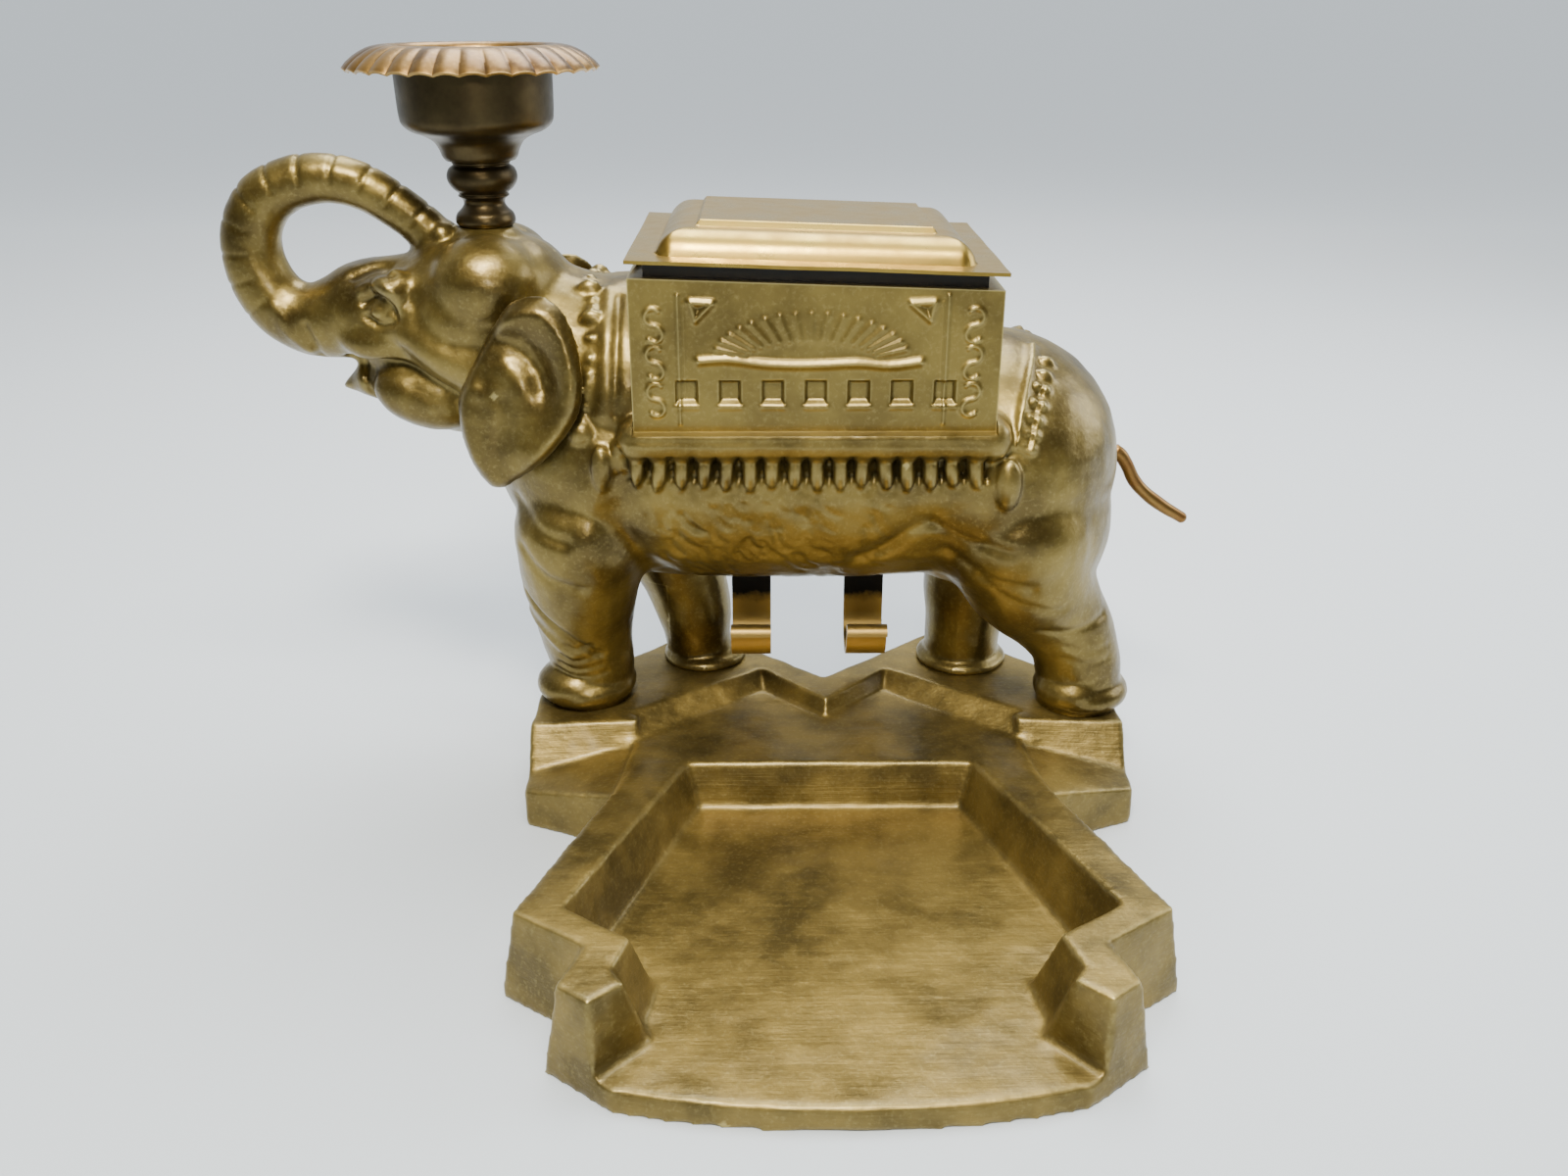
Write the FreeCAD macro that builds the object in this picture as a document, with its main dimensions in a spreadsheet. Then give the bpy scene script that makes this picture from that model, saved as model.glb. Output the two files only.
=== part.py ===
"""Cast-iron elephant dispenser: an elephant with a lidded howdah box stands on an ashtray base.

Loaded from the lid, cigarettes lie across the box in a tin hopper. Turning the tail turns a
fluted roller, which drops one at a time through the belly on to a catch cradle.

Frame: +X towards the tail, +Y away from the open front of the tray, +Z up, millimetres.
The origin is on the ground at the middle of the base.
"""
import FreeCAD, Part
import math
import os
from FreeCAD import Placement, Rotation, Vector

doc = FreeCAD.newDocument("elephant_dispenser")

# ---------------------------------------------------------------- driving sizes
SIZES = {
    # base casting
    "deck_top": 19.7,          # plateau that the feet stand on
    "recess_top": 15.4,        # sunk floor behind the tray, and the tray's back wall
    "tray_floor": 4.7,
    "wing_low": 9.0,           # outer edge of the sloping wings
    "base_draft": 8.0,         # degrees
    "base_wall": 3.5,
    "tray_skin": 2.9,          # iron left under the tray floor
    # elephant
    "mid_y": 50.5,             # parting plane of the two cast halves
    "body_mid_z": 77.0,
    "foot_high": 6.5,
    "cloth_half_wide": 31.0,
    "cloth_low": 84.0,
    "cloth_top": 95.5,
    # howdah box, its tin hopper and its lid
    "box_mid_x": -4.2,
    "box_long": 78.6,
    "box_deep": 62.0,
    "box_wall": 3.0,
    "rim_z": 127.2,            # middle of the box rim
    "rim_tilt": 1.9,           # degrees, the rim rises towards the head
    "tin": 0.6,
    "tin_gap": 0.1,
    "tin_proud": 3.2,          # hopper rim above the box rim
    "lid_long": 79.4,
    "lid_deep": 66.0,
    "lid_sheet": 0.8,
    "dome_inset": 5.5,
    "dome_high": 5.8,
    "panel_inset": 13.5,
    "panel_high": 1.3,
    # hinge
    "pin_radius": 1.0,
    "pin_play": 0.05,
    "knuckle_radius": 1.8,
    "knuckle_long": 9.0,
    # roller and tail
    "roller_axis": 81.0,
    "roller_radius": 8.0,
    "roller_long": 69.0,
    "flute_radius": 4.2,       # holds one cigarette of 8 mm
    "shaft_radius": 1.5,
    "shaft_play": 0.05,
    "bush_radius": 4.0,
    # room in the belly, the slot below it and the catch cradle
    "room_low": 60.0,
    "room_deep": 44.0,
    "slot_low": 30.0,
    "slot_long": 73.0,
    "slot_half_wide": 5.5,
    "strap_wide": 10.0,
    "strap_thick": 1.4,
    # cup on the head
    "cup_x": -77.6,
    "head_top": 134.6,
    "cup_radius": 16.9,
    "pan_radius": 27.0,
    "pan_top": 172.6,
    # screws
    "screw_radius": 2.0,       # castings, feet and cup
    "small_screw": 1.5,        # radius of the box and cradle screws
    "rivet_radius": 1.2,
    "cross_pin_radius": 0.8,
}
SEAM_ANGLE = 37              # degrees, keeps seams of round faces off the parting plane
SEAM_TURN = Rotation(Vector(0, 0, 1), SEAM_ANGLE)
SIDES = (("near", -1), ("far", 1))      # castings on either side of the parting plane

sheet = doc.addObject("Spreadsheet::Sheet", "sizes")
for row, (alias, value) in enumerate(SIZES.items(), start=1):
    sheet.set(f"A{row}", str(value))
    sheet.setAlias(f"A{row}", alias)
doc.recompute()


def size(expression):
    """Number that an expression on the sheet gives now."""
    return float(sheet.evalExpression(expression))


def bound(kind, name, **sizes):
    """A Part primitive whose properties follow the sheet; x, y, z give its place."""
    item = doc.addObject(kind, name)
    for key, value in sizes.items():
        path = {"x": "Placement.Base.x", "y": "Placement.Base.y", "z": "Placement.Base.z"}.get(key, key)
        item.setExpression(path, str(value))
    return item


def block(name, x, y, z, long, deep, high):
    """Rectangular block by its middle in x and y and its underside z."""
    return bound("Part::Box", name, Length=long, Width=deep, Height=high,
                 x=f"({x}) - ({long})/2", y=f"({y}) - ({deep})/2", z=z)


def post(name, x, y, z, radius, high):
    return bound("Part::Cylinder", name, Radius=radius, Height=high, x=x, y=y, z=z)


def rod(name, axis, x, y, z, radius, long):
    """Cylinder along X or Y that starts at x, y, z."""
    turn = Rotation(Vector(0, 1, 0), 90) if axis == "x" else Rotation(Vector(1, 0, 0), -90)
    item = doc.addObject("Part::Cylinder", name)
    item.Placement = Placement(Vector(), turn)
    for path, value in (("Radius", radius), ("Height", long), ("Placement.Base.x", x),
                        ("Placement.Base.y", y), ("Placement.Base.z", z)):
        item.setExpression(path, str(value))
    return item


def cone(name, x, y, z, low, high_radius, high):
    return bound("Part::Cone", name, Radius1=low, Radius2=high_radius, Height=high, x=x, y=y, z=z)


def fuse(name, pieces):
    """One solid from several, joined one after another."""
    whole = pieces[0]
    for number, piece in enumerate(pieces[1:], start=1):
        item = doc.addObject("Part::Fuse", name if number == len(pieces) - 1 else f"{name}_{number}")
        item.Base = whole
        item.Tool = piece
        item.Refine = False
        whole = item
    return whole


def group(name, pieces):
    """Tools or separate pieces taken together."""
    item = doc.addObject("Part::MultiFuse", name)
    item.Shapes = pieces
    return item


def cut(name, base, tool):
    item = doc.addObject("Part::Cut", name)
    item.Base = base
    item.Tool = tool
    return item


def carve(name, base, tools):
    """Cut the tools away one after another."""
    rest = base
    for number, tool in enumerate(tools, start=1):
        rest = cut(name if number == len(tools) else f"{name}_{number}", rest, tool)
        rest.Refine = False
    return rest


def common(name, first, second):
    item = doc.addObject("Part::MultiCommon", name)
    item.Shapes = [first, second]
    return item


def polygon(name, points):
    item = doc.addObject("Part::Polygon", name)
    item.Nodes = [Vector(*point) for point in points]
    item.Close = True
    return item


def loft(name, sections, ruled=False):
    item = doc.addObject("Part::Loft", name)
    item.Sections = sections
    item.Solid = True
    item.Ruled = ruled
    return item


def rings(name, stations):
    """A limb through level rings, each given as (x, y, z, radius)."""
    made = []
    for number, (x, y, z, radius) in enumerate(stations):
        ring = doc.addObject("Part::Circle", f"{name}_ring{number}")
        ring.Radius = radius
        ring.Placement = Placement(Vector(x, y, z), SEAM_TURN)
        made.append(ring)
    return loft(name, made, ruled=True)


def ball(name, middle, radius):
    item = doc.addObject("Part::Sphere", name)
    item.Radius = radius
    item.Placement = Placement(Vector(*middle), SEAM_TURN)
    return item


def taper(name, start, end, low, high_radius):
    """Cone or cylinder between two points."""
    start, end = Vector(*start), Vector(*end)
    item = doc.addObject("Part::Cone" if low != high_radius else "Part::Cylinder", name)
    if low != high_radius:
        item.Radius1, item.Radius2 = low, high_radius
    else:
        item.Radius = low
    item.Height = (end - start).Length
    item.Placement = Placement(start, Rotation(Vector(0, 0, 1), end - start) * SEAM_TURN)
    return item


def leaf(name, middle, half_wide, half_high, thick, tilt):
    """Upright oval plate with its faces across Y."""
    oval = doc.addObject("Part::Ellipse", f"{name}_oval")
    oval.MajorRadius, oval.MinorRadius = half_high, half_wide
    x, y, z = middle
    oval.Placement = Placement(Vector(x, y - thick / 2, z), Rotation(Vector(0, 1, 0), tilt)
                               * Rotation(Vector(0, 0, 1), Vector(-1, 0, 0), Vector(0, 1, 0)))
    plate = doc.addObject("Part::Extrusion", name)
    plate.Base = oval
    plate.Dir = Vector(0, thick, 0)
    plate.Solid = True
    return plate


def mirror(name, source, normal, base=Vector()):
    item = doc.addObject("Part::Mirroring", name)
    item.Source = source
    item.Normal = normal
    item.Base = base
    return item


parts = {}


def keep(node, item):
    """Register a finished sub-part under its node name."""
    item.Label = node
    parts[node] = item
    return item


def pad(name, outline, high, taper="0", low="0"):
    """PartDesign body: a closed outline padded upwards from low, with a casting draft."""
    body = doc.addObject("PartDesign::Body", name)
    sketch = body.newObject("Sketcher::SketchObject", f"{name}_outline")
    plane = [item for item in body.Origin.OriginFeatures if item.Role == "XY_Plane"][0]
    sketch.AttachmentSupport = (plane, [""])
    sketch.MapMode = "FlatFace"
    for start, end in zip(outline, outline[1:] + outline[:1]):
        sketch.addGeometry(Part.LineSegment(Vector(*start, 0), Vector(*end, 0)), False)
    feature = body.newObject("PartDesign::Pad", f"{name}_pad")
    feature.Profile = sketch
    feature.setExpression("Length", high)
    feature.setExpression("TaperAngle", taper)
    body.setExpression("Placement.Base.z", low)
    return body


# ---------------------------------------------------------------- ashtray base
# Outlines run from the front middle round the +X side; mirrored() adds the other side.
def mirrored(half):
    """Whole outline from its +X half, which starts and ends on or near the Y axis."""
    left = [(-x, y) for x, y in reversed(half) if x > 0.01]
    return half + left


tray_outside = [(42.9, -78.5), (56.3, -68.6), (52.6, -57.8), (67.6, -48.0), (47.0, 18.0)]
LIP_CORNER = (42.9, -78.5)
LIP_BOW, LIP_SWEEP = 5.0, 40     # how far the front lip bows out, and the half angle of its arc


def lip_point(turn):
    """Point of the bowed front lip, turn degrees round from its middle."""
    end = math.radians(LIP_SWEEP)
    across = math.sin(math.radians(turn)) / math.sin(end)
    out = (math.cos(math.radians(turn)) - math.cos(end)) / (1 - math.cos(end))
    return LIP_CORNER[0] * across, LIP_CORNER[1] - LIP_BOW * out


lip_arc = [lip_point(turn) for turn in (0, 10, 20, 30)]
front_lip = pad("front_lip", mirrored(lip_arc + [LIP_CORNER, (54.0, -60.0)]),
                "sizes.tray_floor", "-sizes.base_draft*1.6")
tray_walls = pad("tray_walls", mirrored(tray_outside), "sizes.deck_top", "-sizes.base_draft")


def level(name, half, z):
    """Closed level outline at height z."""
    return polygon(name, [(x, y, z) for x, y in mirrored(half)])


deck = size("sizes.deck_top")
sunk = size("sizes.recess_top")
# Rear block under the plateau, then the plateau with its W-shaped sloping inner ledge.
REAR_FOOT = [(0, 8), (50.5, 1), (47, 24), (73.8, 24.6), (74, 42.2), (34.8, 81), (0, 51.4)]
REAR_TOP = [(0, 8), (50.5, 1), (47, 24), (72.6, 25.6), (72.8, 41.6), (33.9, 79.6), (0, 50.2)]
LEDGE_FOOT = [(0, 35.4), (15.6, 50.4), (47, 24.5), (72.6, 25.6), (72.8, 41.6), (33.9, 79.6), (0, 50.2)]
LEDGE_TOP = [(0, 38), (16.3, 55), (53.4, 28.2), (72.1, 26.1), (72.4, 41.3), (33.5, 79), (0, 49.8)]
rear_block = loft("rear_block", [level("rear_foot", REAR_FOOT, 0), level("rear_top", REAR_TOP, sunk)],
                  ruled=True)
plateau = loft("plateau", [level("ledge_foot", LEDGE_FOOT, sunk), level("ledge_top", LEDGE_TOP, deck)],
               ruled=True)


def wing_section(name, x, plateau_y, ridge, wall):
    """Side view of a wing: plateau edge, ridge and outer wall top, down to the drafted foot."""
    ridge_y, ridge_z = ridge
    wall_y, wall_z = wall
    return polygon(name, [(x, plateau_y + 3, 0), (x, plateau_y + 3, deck), (x, plateau_y, deck),
                          (x, ridge_y, ridge_z), (x, wall_y, wall_z), (x, wall_y - 0.6, 0)])


wing_right = loft("wing_right", [
    wing_section("wing_outer", 72.6, 25.9, (18.6, 10.0), (12.0, size("sizes.wing_low"))),
    wing_section("wing_inner", 46.6, 27.2, (25.0, 14.4), (1.4, 14.2))], ruled=True)
wing_left = mirror("wing_left", wing_right, Vector(1, 0, 0))

# The tray wall top falls from the deck height at the front corners to the recess floor behind.
SLOPE_START, SLOPE_END = -44, 16     # y
SLOPE_REACH = 80                     # half width of the tool
wall_slope = polygon("wall_slope", [(-SLOPE_REACH, y, z) for y, z in (
    (SLOPE_START, deck), (SLOPE_END, sunk), (SLOPE_END + 8, sunk), (SLOPE_END + 8, 40), (SLOPE_START, 40))])
wall_slope_tool = doc.addObject("Part::Extrusion", "wall_slope_tool")
wall_slope_tool.Base = wall_slope
wall_slope_tool.Dir = Vector(2 * SLOPE_REACH, 0, 0)
wall_slope_tool.Solid = True
sloped_walls = cut("sloped_walls", tray_walls, wall_slope_tool)

# Tray hollow: drafted sides down to the floor, open at the front between the two corner blocks.
hollow_top = [(47.6, -73.0), (40.9, -67.2), (43.4, -63.2), (40.8, -54.6), (54.7, -45.2), (34.8, 15.4)]
hollow_low = [(45.6, -75.0), (36.6, -65.6), (38.2, -61.6), (36.6, -51.0), (50.4, -43.6), (31.1, 11.1)]
PAST_FRONT = -100        # the hollow runs out beyond the front lip
OVERRUN = 0.4            # share by which its drafted sides run on above the deck


def tray_outline(name, half, z):
    """Level outline of the tray hollow, open towards the front."""
    outline = [(x, y, z) for x, y in half]
    outline += [(-x, y, z) for x, y in reversed(half)]
    return polygon(name, [(half[0][0], PAST_FRONT, z)] + outline + [(-half[0][0], PAST_FRONT, z)])


floor = size("sizes.tray_floor")
rise = (deck - floor) * (1 + OVERRUN)
hollow_high = [(top[0] + (top[0] - low[0]) * OVERRUN, top[1] + (top[1] - low[1]) * OVERRUN)
               for top, low in zip(hollow_top, hollow_low)]
tray_hollow = loft("tray_hollow", [tray_outline("hollow_floor", hollow_low, floor),
                                   tray_outline("hollow_mouth", hollow_high, floor + rise)], ruled=True)
base_solid = fuse("base_solid", [front_lip, sloped_walls, rear_block, plateau, wing_right, wing_left])
base_open = cut("base_open", base_solid, tray_hollow)

# Hollow underside, and a clearance hole for each foot screw.
FEET = {"near_front": (-60.3, 42.5), "near_hind": (63.3, 37.8),
        "far_front": (-31.5, 63.0), "far_hind": (37.0, 61.5)}
under_tray = pad("under_tray", mirrored([(38.0, -72.0), (48.0, -60.0), (60.0, -43.0), (43.0, 8.0)]),
                 "sizes.tray_floor - sizes.tray_skin + 1", low="-1")
under_deck = pad("under_deck", mirrored([(0.0, 19.0), (42.0, 19.0), (43.0, 30.0), (69.0, 30.0), (69.3, 41.0),
                                         (34.0, 75.8), (0.0, 44.0)]),
                 "sizes.recess_top - sizes.base_wall + 1", low="-1")
foot_holes = [post(f"{name}_hole", str(x), str(y), "-1", "sizes.screw_radius + 0.15", "40")
              for name, (x, y) in FEET.items()]
base_tools = group("base_tools", [under_tray, under_deck] + foot_holes)
keep("ashtray_base", cut("ashtray_base", base_open, base_tools))

# ---------------------------------------------------------------- elephant castings
mid_y = size("sizes.mid_y")
body_z = size("sizes.body_mid_z")
barrel = taper("barrel", (-50, mid_y, body_z + 6.5), (38, mid_y, body_z + 1.5), 30.4, 31.0)
chest = ball("chest", (-50, mid_y, body_z + 6), 28.8)
rump = ball("rump", (38, mid_y, body_z + 1.8), 31.6)
neck = ball("neck", (-58, mid_y, 99), 24.5)
head = ball("head", (-82.5, mid_y, 112.5), 21.0)
face = taper("face", (-88, mid_y, 110), (-116, mid_y, 111.5), 16.0, 9.8)
jaw = taper("jaw", (-88, mid_y, 100), (-108, mid_y, 96), 11.0, 5.5)
trunk_line = [(-109, 112.0, 10.2), (-118, 111.5, 8.8), (-125.4, 115.5, 7.8), (-130, 123.5, 7.1),
              (-130.6, 132.4, 6.8), (-126.0, 140.2, 6.2), (-116.8, 144.4, 5.6), (-106.6, 143.6, 5.3),
              (-98.0, 139.0, 5.0), (-91.5, 133.6, 4.9), (-88, 128.0, 4.9)]
trunk_rings = []
for step, (x, z, radius) in enumerate(trunk_line):
    before = trunk_line[max(step - 1, 0)]
    after = trunk_line[min(step + 1, len(trunk_line) - 1)]
    along = Vector(after[0] - before[0], 0, after[1] - before[1])
    ring = doc.addObject("Part::Circle", f"trunk_ring{step}")
    ring.Radius = radius
    ring.Placement = Placement(Vector(x, mid_y, z), Rotation(Vector(0, 0, 1), along) * SEAM_TURN)
    trunk_rings.append(ring)
trunk = loft("trunk", trunk_rings, ruled=True)
ears = [leaf(f"{side}_ear", (-69.5, mid_y + out * 25.0, 102.0), 12.2, 21.2, 9.0, -8)
        for side, out in SIDES]
hips = [ball(f"{side}_hip", (45, mid_y + out * 13.0, 68), 19.0) for side, out in SIDES]
shoulders = [ball(f"{side}_shoulder", (-59, mid_y + out * 13.5, 70), 17.0) for side, out in SIDES]


def leg(name, foot, stations):
    """A leg: rounded foot on the deck, then rings up into the body."""
    x, y = foot
    wide = stations[0][3] + 1.0
    sole = cone(f"{name}_sole", str(x), str(y), "sizes.deck_top", str(wide), str(wide - 1.4), "sizes.foot_high")
    sole.Placement.Rotation = SEAM_TURN
    return [rings(name, stations), sole]


near_front = leg("near_front_leg", FEET["near_front"], [
    (-60.3, 42.5, deck, 11.2), (-60.0, 42.3, deck + 6, 11.0), (-60.0, 42.0, 34, 11.6),
    (-60.0, 40.5, 48, 13.6), (-60.0, 37.0, 62, 14.0)])
near_hind = leg("near_hind_leg", FEET["near_hind"], [
    (63.3, 37.8, deck, 10.8), (62.6, 38.0, deck + 6, 10.6), (61.0, 38.3, 34, 10.9), (56.0, 38.0, 45, 12.8),
    (49.5, 36.5, 58, 14.0)])
far_front = leg("far_front_leg", FEET["far_front"], [
    (-31.5, 63.0, deck, 9.8), (-33.0, 63.0, deck + 6, 8.9), (-34.5, 63.2, 33, 9.8), (-36.5, 63.6, 44, 11.2),
    (-40.0, 64.5, 58, 13.0)])
far_hind = leg("far_hind_leg", FEET["far_hind"], [
    (37.0, 61.5, deck, 10.4), (37.0, 61.5, deck + 6, 9.8), (37.4, 61.8, 33, 10.6), (39.0, 62.5, 44, 11.8),
    (42.0, 64.5, 58, 13.0)])

# Saddle cloth: a squared ledge over the back that the howdah box stands on.
cloth_block = block("cloth_block", "sizes.box_mid_x", "sizes.mid_y", "sizes.cloth_low",
                    "sizes.box_long + 5", "2*sizes.cloth_half_wide + 3", "sizes.cloth_top - sizes.cloth_low")
cloth = doc.addObject("Part::Chamfer", "cloth")
cloth.Base = cloth_block
cloth.Edges = [(4, 2.0, 2.0), (8, 2.0, 2.0), (10, 2.0, 2.0), (12, 2.0, 2.0)]
torso = [barrel, chest, rump] + hips + shoulders
figure = fuse("plain_figure", torso + [neck, head, face, jaw, trunk, cloth] + ears)

# Room for the hopper and roller, the belly slot below it, strap holes and bearing seats.
room = block("room", "sizes.box_mid_x", "sizes.mid_y", "sizes.room_low", "sizes.slot_long", "sizes.room_deep",
             "60")
slot = block("slot", "sizes.box_mid_x", "sizes.mid_y", "sizes.slot_low", "sizes.slot_long",
             "2*sizes.slot_half_wide", "40")
box_seat = block("box_seat", "sizes.box_mid_x", "sizes.mid_y", "sizes.cloth_top", "sizes.box_long + 0.2",
                 "90", "60")
STRAPS = {"front": -18.8, "rear": 10.2}          # middle of each strap in x
strap_holes = [block(f"{name}_strap_hole", str(x), "sizes.mid_y + 6.4", "sizes.slot_low",
                     "sizes.strap_wide + 0.6", "3.4", "40") for name, x in STRAPS.items()]
front_seat = rod("front_seat", "x", "sizes.box_mid_x - sizes.slot_long/2 - 7", "sizes.mid_y",
                 "sizes.roller_axis", "sizes.bush_radius", "8")
rear_seat = rod("rear_seat", "x", "sizes.box_mid_x + sizes.slot_long/2 - 1", "sizes.mid_y",
                "sizes.roller_axis", "sizes.bush_radius", "60")
cup_hole = post("cup_hole", "sizes.cup_x", "sizes.mid_y", "121", "sizes.screw_radius", "30")
crown_boss = post("crown_boss", "sizes.cup_x", "sizes.mid_y", "124", "6.8", "sizes.head_top - 124")

BODY_SCREWS = [(-53.0, 82.0), (46.0, 70.0), (-88.0, 108.0)]              # x, z
BOX_SCREWS = [(x, y) for x in (-30.0, 30.0) for y in (-25.3, 25.3)]      # from the middle of the box
CRADLE_SCREWS = [-12.0, 3.4]                                             # x
box_x = size("sizes.box_mid_x")


def body_screw_tools(side):
    """Holes for the screws that pull the halves together: clear in the far half, tapped in the near one."""
    tools = []
    for number, (x, z) in enumerate(BODY_SCREWS):
        if side == "far":
            tools.append(rod(f"far_hole{number}", "y", str(x), "sizes.mid_y - 1", str(z),
                             "sizes.screw_radius + 0.1", "30"))
            tools.append(rod(f"far_bore{number}", "y", str(x), "sizes.mid_y + 14", str(z),
                             "sizes.screw_radius*2.2", "40"))
        else:
            tools.append(rod(f"near_tap{number}", "y", str(x), "sizes.mid_y - 12.5", str(z),
                             "sizes.screw_radius", "14"))
    return tools


def foot_taps(names):
    return [post(f"{name}_tap", str(FEET[name][0]), str(FEET[name][1]), "10", "sizes.screw_radius", "22.5")
            for name in names]


def box_taps(side):
    return [post(f"{side}_box_tap{number}", str(box_x + x), str(mid_y + y), "83.5", "sizes.small_screw", "20")
            for number, (x, y) in enumerate(BOX_SCREWS) if (y < 0) == (side == "near")]


def half_space(name, low_y):
    item = doc.addObject("Part::Box", name)
    item.Length, item.Width, item.Height = 400, 200, 300
    item.Placement = Placement(Vector(-200, low_y, -20), Rotation())
    return item


stem_seat = post("stem_seat", "sizes.cup_x", "sizes.mid_y", "sizes.head_top", "8.2", "30")
cradle_taps = [post(f"cradle_tap{number}", str(x), "sizes.mid_y + 16", "53.5", "sizes.small_screw", "10")
               for number, x in enumerate(CRADLE_SCREWS)]
figure = fuse("figure", [figure, crown_boss])
figure = carve("hollow_figure", figure, [box_seat, stem_seat, room, slot, front_seat, rear_seat, cup_hole])

near_side = half_space("near_side", mid_y - 200)
stride = block("stride", str(FEET["near_front"][0]), "sizes.mid_y + 5", "0", "40", "20", "44.5")
near_region = fuse("near_region", [near_side, stride])    # the near forefoot stands across the parting plane
near_solid = common("near_solid", fuse("near_figure", [figure] + near_front + near_hind), near_region)
far_torso = mirror("far_torso", common("near_torso", figure, near_side), Vector(0, 1, 0),
                   Vector(0, mid_y, 0))
far_solid = fuse("far_solid", [far_torso] + far_front + far_hind)
near_tools = body_screw_tools("near") + foot_taps(["near_front", "near_hind"]) + box_taps("near")
far_tools = [slot, room] + strap_holes + cradle_taps + body_screw_tools("far")
far_tools += foot_taps(["far_front", "far_hind"]) + box_taps("far")
keep("left_body_half", carve("near_half", near_solid, near_tools))
keep("right_body_half", carve("far_half", far_solid, far_tools))


# ---------------------------------------------------------------- tilted rim
tilt_turn = Rotation(Vector(0, 1, 0), size("sizes.rim_tilt"))
tilt_middle = Vector(box_x, mid_y, size("sizes.rim_z"))
TILT = Placement(Vector(), tilt_turn, tilt_middle)


def tilted(item):
    """Turn a piece that is built level into the plane of the box rim."""
    holder = doc.addObject("Part::Compound", f"{item.Name}_tilted")
    holder.Links = [item]
    holder.Placement = TILT
    return holder


def slab(name, side_view, start_x, long):
    """Side view in y and z, extruded along X."""
    face = polygon(f"{name}_side", [(start_x, y, z) for y, z in side_view])
    item = doc.addObject("Part::Extrusion", name)
    item.Base = face
    item.Dir = Vector(long, 0, 0)
    item.Solid = True
    return item


def frustum(name, low, high, low_z, high_z):
    """Four-sided block between a low and a high rectangle given as (long, deep)."""
    levels = []
    for tag, (long, deep), z in (("low", low, low_z), ("high", high, high_z)):
        levels.append(polygon(f"{name}_{tag}", [(box_x + sx * long / 2, mid_y + sy * deep / 2, z)
                                                for sx, sy in ((-1, -1), (1, -1), (1, 1), (-1, 1))]))
    return loft(name, levels, ruled=True)


rim_z = size("sizes.rim_z")
lid_z = rim_z + size("sizes.tin_proud")
TRIM = ("140", "140", "40")      # block that trims everything above a rim
above_rim = tilted(block("above_rim", "sizes.box_mid_x", "sizes.mid_y", "sizes.rim_z", *TRIM))
above_tin = tilted(block("above_tin", "sizes.box_mid_x", "sizes.mid_y", "sizes.rim_z + sizes.tin_proud",
                         *TRIM))

# ---------------------------------------------------------------- howdah box
box_outside = block("box_outside", "sizes.box_mid_x", "sizes.mid_y", "sizes.cloth_top",
                    "sizes.box_long", "sizes.box_deep", "50")
box_inside = block("box_inside", "sizes.box_mid_x", "sizes.mid_y", "sizes.cloth_top + sizes.box_wall",
                   "sizes.box_long - 2*sizes.box_wall", "sizes.box_deep - 2*sizes.box_wall", "50")
box_floor_hole = block("box_floor_hole", "sizes.box_mid_x", "sizes.mid_y", "sizes.cloth_top - 5",
                       "67", "45", "20")
box_tools = [above_rim, box_inside, box_floor_hole]
box_screws = []
for number, (x, y) in enumerate(BOX_SCREWS):
    place = (str(box_x + x), str(mid_y + y))
    box_tools.append(post(f"box_screw_hole{number}", *place, "90", "sizes.small_screw + 0.1", "10"))
    box_tools.append(post(f"box_counterbore{number}", *place, "sizes.cloth_top + 1.4", "2.5", "10"))
    shank = post(f"box_shank{number}", *place, "84", "sizes.small_screw", "sizes.cloth_top + 1.4 - 84")
    head_disc = post(f"box_head{number}", *place, "sizes.cloth_top + 1.4", "2.4", "1.5")
    box_screws.append(fuse(f"box_screw{number}", [shank, head_disc]))

# Hinge strip on the back wall, with rivets, knuckles and pin; lid knuckles turn on the same pin.
pin_z = "sizes.rim_z + sizes.tin_proud + sizes.lid_sheet - sizes.knuckle_radius"
pin_y = "sizes.mid_y + sizes.lid_deep/2 + 1.9"
back_y = "sizes.mid_y + sizes.box_deep/2"
STRIP_KNUCKLES = [(-33.8, 9.0), (-15.2, 30.4), (24.8, 9.0)]     # start, length along the pin
LID_KNUCKLES = [-24.5, 15.5]                                    # starts
RIVETS = [-29.0, 0.0, 29.0]
STRIP_HALF, STRIP_HIGH, STRIP_SHEET = 33.8, 12.0, 0.8
pin_bore = "sizes.pin_radius + sizes.pin_play"
rivet_bore = "sizes.rivet_radius + 0.05"
rivet_z = "sizes.rim_z - 8"


def knuckle(name, start, long):
    return rod(name, "x", f"sizes.box_mid_x + {start}", pin_y, pin_z, "sizes.knuckle_radius", long)


strip_start = f"sizes.box_mid_x - {STRIP_HALF}"
strip_plate = bound("Part::Box", "strip_plate", Length=2 * STRIP_HALF, Width=STRIP_SHEET, Height=STRIP_HIGH,
                    x=strip_start, y=back_y, z=f"{pin_z} - sizes.knuckle_radius - {STRIP_HIGH - STRIP_SHEET}")
strip_web = bound("Part::Box", "strip_web", Length=2 * STRIP_HALF, Width=f"{pin_y} - ({back_y})",
                  Height=STRIP_SHEET, x=strip_start, y=back_y, z=f"{pin_z} - sizes.knuckle_radius")
strip_rolls = [knuckle(f"strip_knuckle{number}", str(start), str(long))
               for number, (start, long) in enumerate(STRIP_KNUCKLES)]
strip_tools = [rod("strip_pin_hole", "x", "sizes.box_mid_x - 40", pin_y, pin_z, pin_bore, "80")]
lid_rolls = []
lid_tools = [rod("lid_pin_hole", "x", "sizes.box_mid_x - 40", pin_y, pin_z, pin_bore, "80")]
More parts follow.
